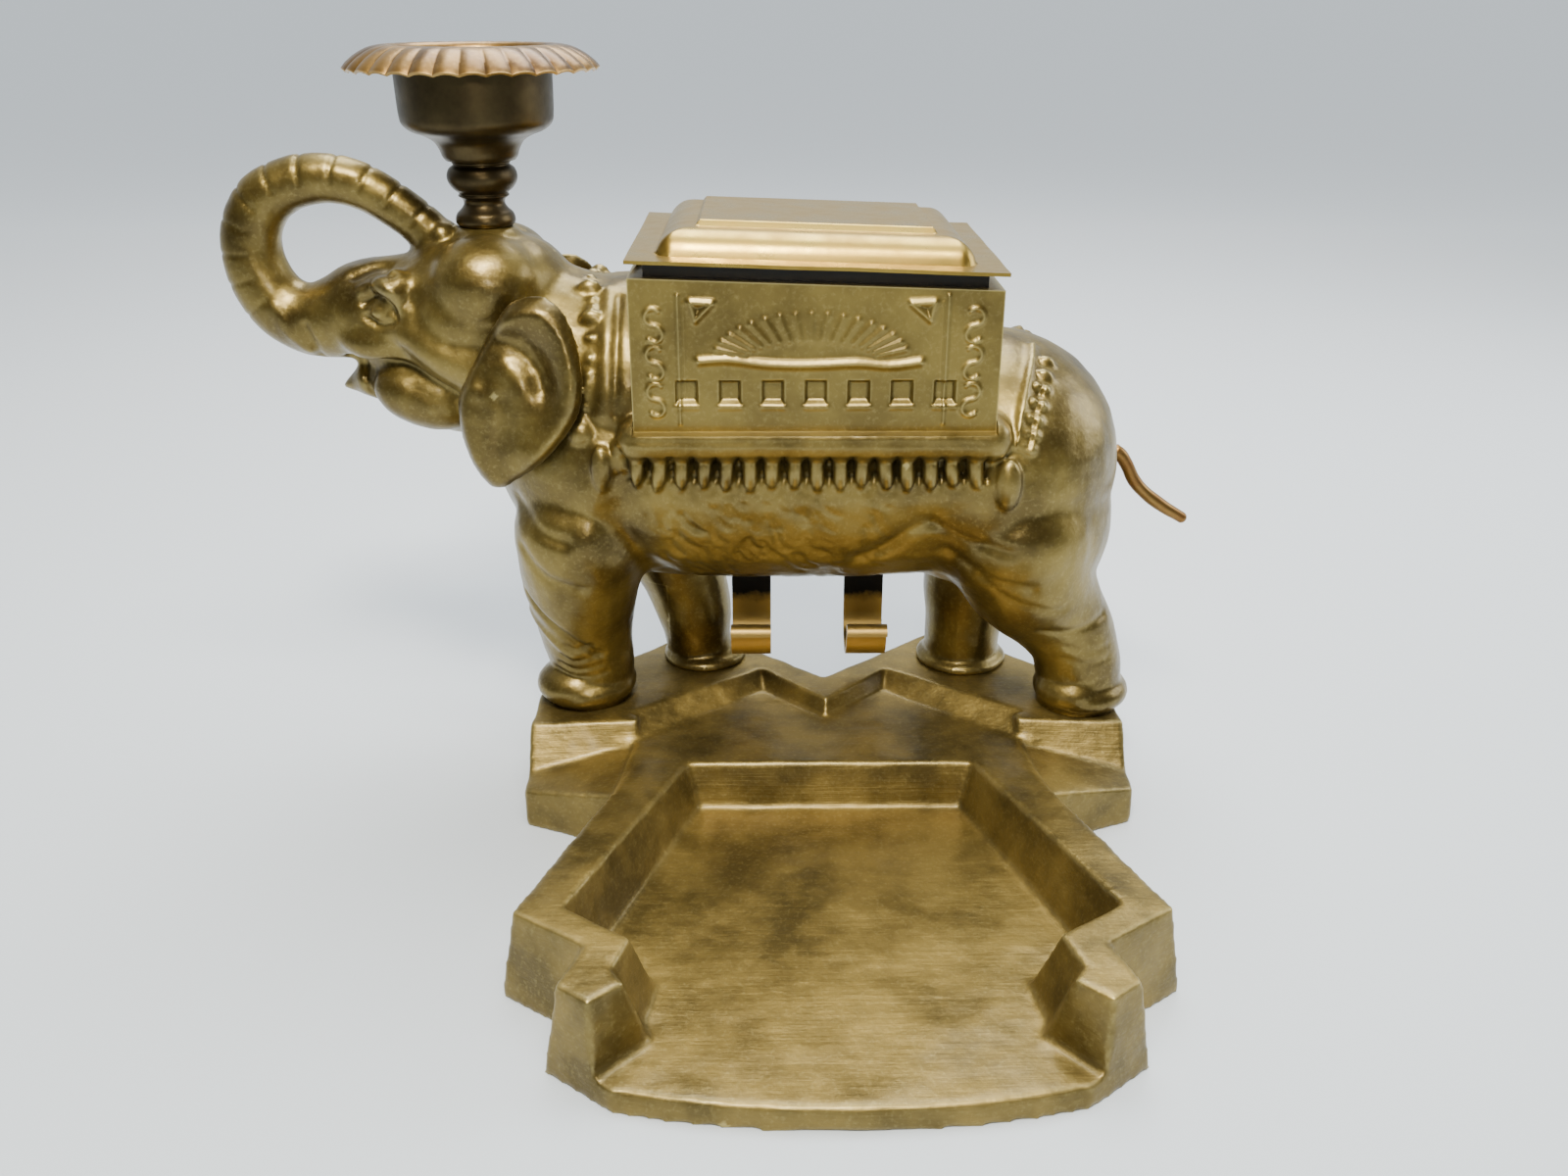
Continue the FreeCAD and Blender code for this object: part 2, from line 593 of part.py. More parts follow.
for number, start in enumerate(LID_KNUCKLES):
    strip_tools.append(bound("Part::Box", f"strip_notch{number}", Length="sizes.knuckle_long + 0.6",
                             Width="6", Height="6", x=f"sizes.box_mid_x + {start} - 0.3",
                             y=f"{pin_y} - 2.4", z=f"{pin_z} - 3"))
    lid_rolls.append(knuckle(f"lid_knuckle{number}", str(start), "sizes.knuckle_long"))
    lid_rolls.append(bound("Part::Box", f"lid_tab{number}", Length="sizes.knuckle_long", Width="3.9",
                           Height="sizes.lid_sheet", x=f"sizes.box_mid_x + {start}", y=f"{pin_y} - 3.9",
                           z="sizes.rim_z + sizes.tin_proud"))
rivets = []
for number, x in enumerate(RIVETS):
    spot = f"sizes.box_mid_x + {x}"
    hole = (f"{back_y} - 5", rivet_z, rivet_bore, "10")
    box_tools.append(tilted(rod(f"rivet_hole{number}", "y", spot, *hole)))
    strip_tools.append(rod(f"strip_rivet_hole{number}", "y", spot, *hole))
    shank = rod(f"rivet_shank{number}", "y", spot, f"{back_y} - 2.9", rivet_z, "sizes.rivet_radius", "3.7")
    cap = rod(f"rivet_cap{number}", "y", spot, f"{back_y} + 0.8", rivet_z, "2.2", "0.8")
    rivets.append(fuse(f"rivet{number}", [shank, cap]))
keep("howdah_box", cut("box_casting", box_outside, group("box_tools", box_tools)))
keep("box_screws", group("box_screw_set", box_screws))
keep("hinge_strip", tilted(cut("strip", fuse("strip_solid", [strip_plate, strip_web] + strip_rolls),
                               group("strip_tools", strip_tools))))
keep("hinge_rivets", tilted(group("rivet_set", rivets)))
pin_shaft = rod("pin_shaft", "x", "sizes.box_mid_x - 34.2", pin_y, pin_z, "sizes.pin_radius", "68.4")
pin_heads = [rod(f"pin_head{n}", "x", f"sizes.box_mid_x + {x}", pin_y, pin_z, "sizes.pin_radius*1.5", "0.8")
             for n, x in enumerate((-35.0, 34.2))]
keep("lid_hinge_pin", tilted(fuse("hinge_pin", [pin_shaft] + pin_heads)))

# ---------------------------------------------------------------- lid
long, deep = size("sizes.lid_long"), size("sizes.lid_deep")
tin = size("sizes.lid_sheet")
dome_in_from, panel_in_from = 2 * size("sizes.dome_inset"), 2 * size("sizes.panel_inset")
dome, panel = size("sizes.dome_high"), size("sizes.panel_high")
DOME_SLOPE, PANEL_SLOPE = 9, 3       # how much narrower the dome and the panel are at their tops
SIDE_SHEET = 2                       # both walls of the pressed sides, measured across


def pressed(name, inset, slope, low_z, high_z):
    """Sloping block whose foot lies inset from the edge of the lid."""
    foot = (long - inset, deep - inset)
    return frustum(name, foot, (foot[0] - slope, foot[1] - slope), low_z, high_z)


flange = block("flange", "sizes.box_mid_x", "sizes.mid_y", "sizes.rim_z + sizes.tin_proud",
               "sizes.lid_long", "sizes.lid_deep", "sizes.lid_sheet")
dome_out = pressed("dome_out", dome_in_from, DOME_SLOPE, lid_z + tin, lid_z + dome)
dome_in = pressed("dome_in", dome_in_from + SIDE_SHEET, DOME_SLOPE, lid_z - 0.01, lid_z + dome - tin)
top_out = pressed("top_out", panel_in_from, PANEL_SLOPE, lid_z + dome, lid_z + dome + panel)
top_in = pressed("top_in", panel_in_from + SIDE_SHEET, PANEL_SLOPE, lid_z + dome - tin - 0.01,
                 lid_z + dome + panel - tin)
lid_solid = fuse("lid_solid", [flange, dome_out, top_out] + lid_rolls)
lid_tools.append(fuse("lid_hollow", [dome_in, top_in]))
keep("lid", tilted(cut("lid_sheet_metal", lid_solid, group("lid_tools", lid_tools))))

# ---------------------------------------------------------------- hopper liner
sheet_thick = size("sizes.tin")
hop_long = size("sizes.box_long - 2*sizes.box_wall - 2*sizes.tin_gap")
hop_deep = size("sizes.box_deep - 2*sizes.box_wall - 2*sizes.tin_gap")
hop_floor = size("sizes.cloth_top + sizes.box_wall")
tube_out = block("tube_out", "sizes.box_mid_x", "sizes.mid_y", str(hop_floor), str(hop_long), str(hop_deep),
                 "50")
tube_in = block("tube_in", "sizes.box_mid_x", "sizes.mid_y", str(hop_floor - 1),
                str(hop_long - 2 * sheet_thick), str(hop_deep - 2 * sheet_thick), "60")
tube = cut("tube_walls", tube_out, group("tube_tools", [tube_in, above_tin]))
mouth = size("sizes.slot_half_wide")
funnel_low = size("sizes.roller_axis + sizes.roller_radius + 0.8")
FUNNEL_HALF = 33.3           # half length of the sloping sheets
SHELF_Y = 22.2               # where the slopes start, from the parting plane
shelf_x = FUNNEL_HALF - 0.3  # inner edge of the end shelves
sheets = []
for side, out in SIDES:
    edge, shelf = out * hop_deep / 2, out * SHELF_Y
    side_view = [(mid_y + edge, hop_floor), (mid_y + shelf, hop_floor),
                 (mid_y + out * (mouth + 0.6), funnel_low), (mid_y + out * mouth, funnel_low + 0.4),
                 (mid_y + out * (SHELF_Y - 0.2), hop_floor + sheet_thick),
                 (mid_y + edge, hop_floor + sheet_thick)]
    sheets.append(slab(f"{side}_slope", side_view, box_x - FUNNEL_HALF, 2 * FUNNEL_HALF))
for end, x in (("front", -FUNNEL_HALF), ("rear", FUNNEL_HALF - sheet_thick)):
    side_view = [(mid_y - SHELF_Y + 0.1, hop_floor + sheet_thick), (mid_y - mouth - 0.3, funnel_low),
                 (mid_y + mouth + 0.3, funnel_low), (mid_y + SHELF_Y - 0.1, hop_floor + sheet_thick)]
    sheets.append(slab(f"{end}_cheek", side_view, box_x + x, sheet_thick))
for end, x in (("front", -hop_long / 2), ("rear", shelf_x)):
    sheets.append(block(f"{end}_shelf", str(box_x + x + (hop_long / 2 - shelf_x) / 2), "sizes.mid_y",
                        str(hop_floor), str(hop_long / 2 - shelf_x), str(hop_deep), "sizes.tin"))
keep("hopper_liner", fuse("hopper", [tube] + sheets))

# ---------------------------------------------------------------- roller, tail and bearings
half_roller = "sizes.roller_long/2"
roller_start = f"sizes.box_mid_x - {half_roller}"
roller_solid = rod("roller_solid", "x", roller_start, "sizes.mid_y", "sizes.roller_axis",
                   "sizes.roller_radius", "sizes.roller_long")
flute = rod("flute", "x", f"{roller_start} - 1", "sizes.mid_y", "sizes.roller_axis + sizes.roller_radius",
            "sizes.flute_radius", "sizes.roller_long + 2")
shaft_hole = rod("shaft_hole", "x", f"{roller_start} - 1", "sizes.mid_y", "sizes.roller_axis",
                 "sizes.shaft_radius", "sizes.roller_long + 2")
cross_x = "sizes.box_mid_x + 28"
cross_hole = rod("cross_hole", "y", cross_x, "sizes.mid_y - 12", "sizes.roller_axis",
                 "sizes.cross_pin_radius", "24")
roller_tools = group("roller_tools", [flute, shaft_hole, cross_hole])
keep("feed_roller", cut("fluted_roller", roller_solid, roller_tools))
keep("roller_pin", rod("cross_pin", "y", cross_x, "sizes.mid_y - 7.4", "sizes.roller_axis",
                       "sizes.cross_pin_radius", "14.8"))

axis_z = size("sizes.roller_axis")
TAIL = [(-46.6, axis_z), (74.6, axis_z), (79.2, 71.6), (88.6, 63.6)]      # x, z of the wire's corners
BENDS = [3.2, 6.0]                                                        # radius at each inner corner


def bent_line(points, radii):
    """Straight runs joined by tangent arcs, in the parting plane."""
    corners = [Vector(x, mid_y, z) for x, z in points]
    edges = []
    start = corners[0]
    for before, corner, after, radius in zip(corners, corners[1:], corners[2:], radii):
        inward = (before - corner).normalize()
        outward = (after - corner).normalize()
        half_angle = inward.getAngle(outward) / 2
        reach = radius / math.tan(half_angle)
        middle = (inward + outward).normalize()
        centre = corner + middle * (radius / math.sin(half_angle))
        first, last = corner + inward * reach, corner + outward * reach
        top = centre - middle * radius
        edges += [Part.LineSegment(start, first).toShape(), Part.Arc(first, top, last).toShape()]
        start = last
    edges.append(Part.LineSegment(start, corners[-1]).toShape())
    return Part.Wire(edges)


tail_line = doc.addObject("Part::Feature", "tail_line")
tail_line.Shape = bent_line(TAIL, BENDS)
tail_ring = doc.addObject("Part::Circle", "tail_ring")
tail_ring.setExpression("Radius", "sizes.shaft_radius")
tail_ring.Placement = Placement(Vector(TAIL[0][0], mid_y, axis_z),
                                Rotation(Vector(0, 0, 1), Vector(1, 0, 0)) * SEAM_TURN)
tail_wire = doc.addObject("Part::Sweep", "tail_wire")
tail_wire.Sections = [tail_ring]
tail_wire.Spine = (tail_line, [f"Edge{n + 1}" for n in range(len(tail_line.Shape.Edges))])
tail_wire.Solid = True
tail_cross_hole = rod("tail_cross_hole", "y", cross_x, "sizes.mid_y - 12", "sizes.roller_axis",
                      "sizes.cross_pin_radius", "24")
keep("tail_crank", cut("tail", tail_wire, tail_cross_hole))


def bush(node, start, long):
    """Plain bearing for the roller shaft, clamped between the two castings."""
    sleeve = rod(f"{node}_sleeve", "x", start, "sizes.mid_y", "sizes.roller_axis",
                 "sizes.bush_radius - 0.05", long)
    bore = rod(f"{node}_bore", "x", f"{start} - 1", "sizes.mid_y", "sizes.roller_axis",
               "sizes.shaft_radius + sizes.shaft_play", f"{long} + 2")
    keep(node, cut(f"{node}_ring", sleeve, bore))


bush("front_bearing", "sizes.box_mid_x - sizes.slot_long/2 - 6.9", "7.4")
bush("rear_bearing", "sizes.box_mid_x + sizes.slot_long/2 - 0.5", "36.5")

# Tin guide that keeps the picked cigarette in the flute until it is over the slot.
guide_half = size("sizes.roller_radius + 1.6")
guide_block = block("guide_block", "sizes.box_mid_x", "sizes.mid_y", "61.6", "sizes.roller_long + 1",
                    str(2 * guide_half), "sizes.roller_axis + 6 - 61.6")
guide_bore = rod("guide_bore", "x", "sizes.box_mid_x - 45", "sizes.mid_y", "sizes.roller_axis",
                 "sizes.roller_radius + 0.5", "90")
guide_slot = block("guide_slot", "sizes.box_mid_x", "sizes.mid_y", "40", "100",
                   "2*sizes.slot_half_wide - 1", "45")
keep("drop_guide", cut("guide", guide_block, group("guide_tools", [guide_bore, guide_slot])))

# ---------------------------------------------------------------- catch cradle
thick, strap_wide = size("sizes.strap_thick"), size("sizes.strap_wide")
CURL, CURL_Z = 6.6, 35.0                # inner radius and height of the J's centre
LIP_Z, LIP_CURL = 36.2, 0.9             # height and inner radius of the rolled lip
HANGER_TOP, TIE_LOW = 61.4, 60.0


def half_ring(name, start, y, z, inner, half):
    """Bent strip along X: a ring of the strap's thickness cut down to the part inside the half block."""
    ring = cut(f"{name}_ring",
               rod(f"{name}_out", "x", str(start), y, str(z), str(inner + thick), "sizes.strap_wide"),
               rod(f"{name}_in", "x", str(start - 1), y, str(z), str(inner), "sizes.strap_wide + 2"))
    return common(name, ring, half)


strap_pieces = []
for name, x in STRAPS.items():
    start = x - strap_wide / 2
    hanger = block(f"{name}_hanger", str(x), str(mid_y + CURL + thick / 2), str(CURL_Z), "sizes.strap_wide",
                   "sizes.strap_thick", str(HANGER_TOP - CURL_Z))
    lower = block(f"{name}_lower", str(x), "sizes.mid_y", str(CURL_Z - 20), "30", "40", "20")
    hook = half_ring(f"{name}_hook", start, "sizes.mid_y", CURL_Z, CURL, lower)
    riser = block(f"{name}_riser", str(x), str(mid_y - CURL - thick / 2), str(CURL_Z), "sizes.strap_wide",
                  "sizes.strap_thick", str(LIP_Z - CURL_Z))
    scroll_y = str(mid_y - CURL - thick - LIP_CURL)
    upper = block(f"{name}_upper", str(x), scroll_y, str(LIP_Z), "30", "20", "20")
    scroll = half_ring(f"{name}_scroll", start, scroll_y, LIP_Z, LIP_CURL, upper)
    strap_pieces.append(fuse(f"{name}_strap", [hanger, hook, riser, scroll]))
tie_plate = bound("Part::Box", "tie_plate", Length=STRAPS["rear"] - STRAPS["front"] + strap_wide,
                  Width="15", Height="sizes.strap_thick", x=STRAPS["front"] - strap_wide / 2,
                  y=mid_y + CURL, z=TIE_LOW)
cradle_screws, cradle_tools = [], []
for number, x in enumerate(CRADLE_SCREWS):
    place = (str(x), "sizes.mid_y + 16")
    cradle_tools.append(post(f"cradle_screw_hole{number}", *place, "55", "sizes.small_screw + 0.1", "10"))
    cradle_screws.append(fuse(f"cradle_screw{number}", [
        post(f"cradle_shank{number}", *place, "54", "sizes.small_screw", "7.4"),
        post(f"cradle_head{number}", *place, str(HANGER_TOP), "2.8", "1.8")]))
cradle_solid = fuse("cradle_solid", strap_pieces + [tie_plate])
keep("catch_cradle", cut("cradle", cradle_solid, group("cradle_tools", cradle_tools)))
keep("cradle_screws", group("cradle_screw_set", cradle_screws))

# ---------------------------------------------------------------- cup on the head
cup_y = "sizes.mid_y"
STEM = [(0.0, 6.4, 1.4), (1.4, 6.9, 1.6), (3.0, 4.6, 2.2), (5.2, 5.6, 1.4), (6.6, 5.6, 2.2), (8.8, 7.7, 2.2),
        (11.0, 5.2, 1.9), (12.9, 7.2, 1.1)]      # start above the head, radius, height of each turned band
stem_bands = [post(f"stem_band{n}", "sizes.cup_x", cup_y, f"sizes.head_top + {start}", str(radius), str(high))
              for n, (start, radius, high) in enumerate(STEM)]
stem_hole = post("stem_hole", "sizes.cup_x", cup_y, "sizes.head_top - 1", "sizes.screw_radius + 0.1", "20")
keep("cup_stem", cut("stem", fuse("stem_solid", stem_bands), stem_hole))
cup_low = "sizes.head_top + 14"
cup_bands = [cone("cup_base", "sizes.cup_x", cup_y, cup_low, "8", "12.4", "4.6"),
             cone("cup_shoulder", "sizes.cup_x", cup_y, f"{cup_low} + 4.6", "12.4", "16.2", "2.6"),
             post("cup_wall", "sizes.cup_x", cup_y, f"{cup_low} + 7.2", "sizes.cup_radius", "12.8")]
cup_hollow = fuse("cup_hollow", [
    cone("cup_hollow_low", "sizes.cup_x", cup_y, f"{cup_low} + 3.4", "9.0", "15.4", "4.6"),
    post("cup_hollow_high", "sizes.cup_x", cup_y, f"{cup_low} + 8", "sizes.cup_radius - 1.5", "40")])
cup_bore = post("cup_bore", "sizes.cup_x", cup_y, "sizes.head_top", "sizes.screw_radius + 0.1", "40")
keep("cup", cut("cup_turning", fuse("cup_solid", cup_bands), group("cup_tools", [cup_hollow, cup_bore])))
pan_low = f"{cup_low} + 20"
pan_solid = fuse("pan_solid", [
    cone("pan_edge", "sizes.cup_x", cup_y, f"{pan_low} - 1.2", "sizes.pan_radius", "sizes.pan_radius - 1.2",
         "2.4"),
    cone("pan_slope", "sizes.cup_x", cup_y, f"{pan_low} + 1.2", "sizes.pan_radius - 1.2", "17", "2.6")])
pan_hollow = fuse("pan_hollow", [
    cone("pan_under", "sizes.cup_x", cup_y, f"{pan_low} - 1.3", "sizes.pan_radius - 1.4", "17", "2.9"),
    post("pan_mouth", "sizes.cup_x", cup_y, f"{pan_low} - 5", "sizes.cup_radius - 1.5", "20")])
pan_seat = post("pan_seat", "sizes.cup_x", cup_y, f"{pan_low} - 6", "sizes.cup_radius", "6")
keep("fluted_rim", cut("pan", pan_solid, group("pan_tools", [pan_hollow, pan_seat])))
keep("cup_screw", fuse("cup_fixing", [
    post("cup_screw_shank", "sizes.cup_x", cup_y, "121.6", "sizes.screw_radius - 0.02",
         f"{cup_low} + 3.4 - 121.6"),
    post("cup_screw_head", "sizes.cup_x", cup_y, f"{cup_low} + 3.4", "4.2", "2.4")]))

# ---------------------------------------------------------------- screws of the castings
body_screws = []
for number, (x, z) in enumerate(BODY_SCREWS):
    body_screws.append(fuse(f"body_screw{number}", [
        rod(f"body_shank{number}", "y", str(x), "sizes.mid_y - 12", str(z), "sizes.screw_radius - 0.02", "26"),
        rod(f"body_head{number}", "y", str(x), "sizes.mid_y + 14", str(z), "sizes.screw_radius*2", "2.6")]))
keep("body_screws", group("body_screw_set", body_screws))
deck_under = "sizes.recess_top - sizes.base_wall"
foot_screws, washers = [], []
for name, (x, y) in FEET.items():
    ring = cut(f"{name}_washer", post(f"{name}_washer_disc", str(x), str(y), f"{deck_under} - 1", "4.6", "1"),
               post(f"{name}_washer_hole", str(x), str(y), f"{deck_under} - 2", "2.15", "4"))
    washers.append(ring)
    foot_screws.append(fuse(f"{name}_screw", [
        post(f"{name}_screw_head", str(x), str(y), f"{deck_under} - 3.6", "3.6", "2.6"),
        post(f"{name}_screw_shank", str(x), str(y), f"{deck_under} - 1", "sizes.screw_radius - 0.02", "20")]))
keep("foot_screws", group("foot_screw_set", foot_screws))
keep("foot_washers", group("foot_washer_set", washers))

# ---------------------------------------------------------------- check and write
doc.recompute()
for item in doc.Objects:
    if "Invalid" in item.State or "Error" in item.State:
        raise RuntimeError(f"{item.Name} failed: {item.State}")
os.makedirs("parts", exist_ok=True)
for node, item in parts.items():
    shape = item.Shape
    if shape.isNull() or not shape.isValid() or not shape.Solids:
        raise RuntimeError(f"{node} has no valid solid")
    shape.exportStep(f"parts/{node}.step")
    print(f"{node:18s} solids {len(shape.Solids)}  volume {shape.Volume / 1000:8.2f} cm3")
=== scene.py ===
"""Looks of the cast-iron elephant dispenser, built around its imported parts.

Each operator makes one piece or group in millimetres and hands it over in metres.
"""
from math import cos, pi, radians, sin, tan

import bpy
import numpy as np
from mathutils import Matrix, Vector, noise
from mathutils.bvhtree import BVHTree


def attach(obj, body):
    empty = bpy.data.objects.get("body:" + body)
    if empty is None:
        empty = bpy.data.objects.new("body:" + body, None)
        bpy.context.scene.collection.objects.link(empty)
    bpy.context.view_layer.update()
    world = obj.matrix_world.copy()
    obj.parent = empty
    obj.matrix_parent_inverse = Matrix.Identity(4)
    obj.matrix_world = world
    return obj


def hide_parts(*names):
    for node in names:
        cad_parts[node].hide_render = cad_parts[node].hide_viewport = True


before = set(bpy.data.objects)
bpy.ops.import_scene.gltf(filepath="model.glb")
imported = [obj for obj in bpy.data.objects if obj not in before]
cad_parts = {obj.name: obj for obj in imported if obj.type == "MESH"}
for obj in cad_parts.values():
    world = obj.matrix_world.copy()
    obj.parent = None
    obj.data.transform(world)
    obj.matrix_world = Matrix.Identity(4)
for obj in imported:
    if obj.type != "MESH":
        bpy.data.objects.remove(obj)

bl_info = {
    "name": "Elephant dispenser looks",
    "version": (1, 0, 0),
    "blender": (4, 5, 0),
    "location": "3D View > Sidebar > Dispenser",
    "description": "Builds the visible pieces of a gilt cast-iron elephant dispenser",
    "category": "Object",
}

MM = 0.001
MID = 50.5                     # parting plane of the two cast halves
BOX_X = -4.2                   # middle of the howdah box
BOX_TOP = 127.2                # rim of the box at its middle
TILT = radians(1.9)       # fall of the rim and the lid towards the tail
TILT_TOP = Vector((BOX_X, MID, BOX_TOP))
CUP_X = -77.6                  # axis of the cup
CUP_FOOT = 134.6               # level that the stem stands on
DECK = 19.7                    # plateau that the feet stand on
SIDES = (-1, 1)                # the near and the far side


# -------------------- settings in the panel
def colour(text):
    """A hex sRGB colour as linear values with full alpha."""
    parts = [int(text[i:i + 2], 16) / 255 for i in (1, 3, 5)]
    linear = [p / 12.92 if p <= 0.04045 else ((p + 0.055) / 1.055) ** 2.4 for p in parts]
    return (*linear, 1.0)


def length(name, description, millimetres):
    """Length shown in the panel in metres."""
    return bpy.props.FloatProperty(name=name, description=description, default=millimetres * MM, min=0.0,
                                   precision=4, unit="LENGTH", subtype="DISTANCE")


def tint(name, description, text):
    """Linear colour shown in the panel, from a hex sRGB colour."""
    return bpy.props.FloatVectorProperty(name=name, description=description, default=colour(text), size=4,
                                         min=0.0, max=1.0, subtype="COLOR")


class DispenserSizes(bpy.types.PropertyGroup):
    """Sizes of the made pieces that don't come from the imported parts"""
    cell: length("Casting cell", "Grain of the remeshed elephant", 0.62)
    base_cell: length("Base cell", "Grain of the remeshed base", 0.72)
    box_long: length("Box length", "Length of the ornamented sides", 78.6)
    box_deep: length("Box depth", "Distance between the plain sides", 62.0)
    box_foot: length("Box foot", "Height of the foot of the box", 95.5)
    lid_long: length("Lid length", "Length of the lid's flange", 79.4)
    lid_deep: length("Lid depth", "Depth of the lid's flange", 66.0)
    lid_sheet: length("Lid sheet", "Thickness of the pressed sheet", 0.75)
    roll_high: length("Roll height", "Height of the rounded roll of the lid", 5.2)
    panel_high: length("Panel height", "Step up to the lid's flat panel", 1.25)
    flute_deep: length("Flute depth", "Depth of the flutes at the edge of the rim", 0.26)
    wire_radius: length("Tail wire", "Radius of the tail wire", 1.6)
    flutes: bpy.props.IntProperty(name="Flutes", description="Number of flutes around the rim", default=32,
                                  min=8, max=64)


class DispenserColours(bpy.types.PropertyGroup):
    """Colours of the finishes"""
    gold: tint("Gold", "Bronze-powder gilding", "#84723a")
    deep_gold: tint("Deep gold", "Darker patches of the gilding", "#5a4b23")
    bright: tint("Rubbed gold", "Gilding on worn high places", "#cfbe7c")
    dirt: tint("Dirt", "Grime in the hollows", "#2a2612")
    base_gold: tint("Base gold", "Gilding of the base", "#88743c")
    base_deep: tint("Base deep gold", "Darker patches of the base", "#5d4f27")
    box_gold: tint("Box gold", "Gilding of the box", "#84733a")
    box_deep: tint("Box deep gold", "Darker patches of the box", "#6a5a2b")
    lid_gold: tint("Lid gold", "Satin gilding of the lid", "#ad9349")
    lid_deep: tint("Lid deep gold", "Stains of the lid", "#957a38")
    rim_copper: tint("Rim copper", "Coppery gilding of the fluted rim", "#8a6a33")
    rim_deep: tint("Rim deep copper", "Darker patches of the rim", "#543b1a")
    brass: tint("Cup brass", "Dull brass of the cup", "#4f432a")
    brass_deep: tint("Cup deep brass", "Stains of the cup", "#3a301d")
    wire: tint("Wire gold", "Gilding of the tail wire", "#8a6d3c")
    strap_black: tint("Strap black", "Blackened strip", "#14120e")
    strap_gold: tint("Strap gold", "Gilt curled ends", "#a98c4c")
    # painted shade: the floor's colour in front is darker, in place of the shade that falls there
    floor_painted_shade: tint("Floor, near", "Floor in front", "#adb5ba")
    floor_far: tint("Floor, far", "Floor behind", "#f4f8fa")


# -------------------- shader nodes
def node(tree, kind, values=None, links=None, **settings):
    """Add a shader node, set its properties and sockets, and link its inputs."""
    item = tree.nodes.new(kind)
    for key, value in settings.items():
        setattr(item, key, value)
    for key, value in (values or {}).items():
        item.inputs[key].default_value = value
    for key, source in (links or {}).items():
        tree.links.new(source, item.inputs[key])
    return item


def ramp(tree, source, low, high, first=0.0, last=1.0):
    """Grey ramp, first up to low and last from high on."""
    item = node(tree, "ShaderNodeValToRGB", links={"Fac": source})
    for element, position, value in zip(item.color_ramp.elements, (low, high), (first, last)):
        element.position = position
        element.color = (value, value, value, 1.0)
    return item.outputs["Color"]


def mix(tree, factor, low, high):
    """Mix two colours; each may be a colour or a socket, and so may the factor."""
    item = node(tree, "ShaderNodeMix", data_type="RGBA")
    for key, value in ((0, factor), (6, low), (7, high)):
        if isinstance(value, bpy.types.NodeSocket):
            tree.links.new(value, item.inputs[key])
        else:
            item.inputs[key].default_value = value
    return item.outputs[2]


def pattern(tree, where, size_mm, detail, stretch=(1.0, 1.0, 1.0)):
    """Noise whose features are about size_mm across, longer along a stretched axis."""
    mapping = node(tree, "ShaderNodeMapping", {"Scale": [1.0 / s for s in stretch]}, {"Vector": where})
    values = {"Scale": 1.0 / (size_mm * MM), "Detail": detail, "Roughness": 0.6}
    return node(tree, "ShaderNodeTexNoise", values, {"Vector": mapping.outputs["Vector"]}).outputs["Fac"]


def new_material(name, **values):
    """Material with one shader; an underscore in a value's name stands for a space."""
    material = bpy.data.materials.new(name)
    material.use_nodes = True
    tree = material.node_tree
    tree.nodes.clear()
    shader = node(tree, "ShaderNodeBsdfPrincipled", {key.replace("_", " "): v for key, v in values.items()})
    node(tree, "ShaderNodeOutputMaterial", links={"Surface": shader.outputs["BSDF"]})
    where = node(tree, "ShaderNodeTexCoord").outputs["Object"]
    return material, tree, shader, where


def add_bump(tree, shader, layers):
    """Stack bumps given as (height socket, depth in millimetres)."""
    last = None
    for height, depth in layers:
        bump = node(tree, "ShaderNodeBump", {"Strength": 1.0, "Distance": depth * MM}, {"Height": height})
        if last:
            tree.links.new(last, bump.inputs["Normal"])
        last = bump.outputs["Normal"]
    tree.links.new(last, shader.inputs["Normal"])


def gilt_iron(name, gold, deep, bright, dirt, worn=0.5, rough=(0.30, 0.44), grain_depth=0.05, strokes=None):
    """Bronze-powder gilding on rough cast iron: dull in the hollows, rubbed bright on the edges."""
    material, tree, shader, where = new_material(name, Metallic=0.85, Coat_Weight=0.22, Coat_Roughness=0.24)
    blotch = pattern(tree, where, 16, 4)
    fine = pattern(tree, where, 0.9, 5)
    edge = node(tree, "ShaderNodeNewGeometry").outputs["Pointiness"]
    tone = mix(tree, ramp(tree, blotch, 0.36, 0.64), deep, gold)
    tone = mix(tree, ramp(tree, fine, 0.52, 0.76, last=0.16), tone, bright)
    tone = mix(tree, ramp(tree, edge, 0.40, 0.485, 0.85, 0.0), tone, dirt)
    tone = mix(tree, ramp(tree, edge, 0.515, 0.60, last=worn), tone, bright)
    tree.links.new(tone, shader.inputs["Base Color"])
    tree.links.new(ramp(tree, blotch, 0.3, 0.7, *rough), shader.inputs["Roughness"])
    layers = [(fine, grain_depth), (pattern(tree, where, 3.5, 2), 0.12)]
    if strokes:
        layers.append((pattern(tree, where, 0.7, 3, strokes), 0.10))
    add_bump(tree, shader, layers)
    return material


def plain_metal(name, tone, second, rough, metallic, grain_mm, depth):
    """Metal with a light grain and a soft stain."""
    material, tree, shader, where = new_material(name, Metallic=metallic)
    stain = pattern(tree, where, 7, 4)
    shade = mix(tree, ramp(tree, stain, 0.35, 0.7), tone, second)
    tree.links.new(shade, shader.inputs["Base Color"])
    tree.links.new(ramp(tree, stain, 0.3, 0.7, rough, rough + 0.12), shader.inputs["Roughness"])
    add_bump(tree, shader, [(pattern(tree, where, grain_mm, 4), depth)])
    return material


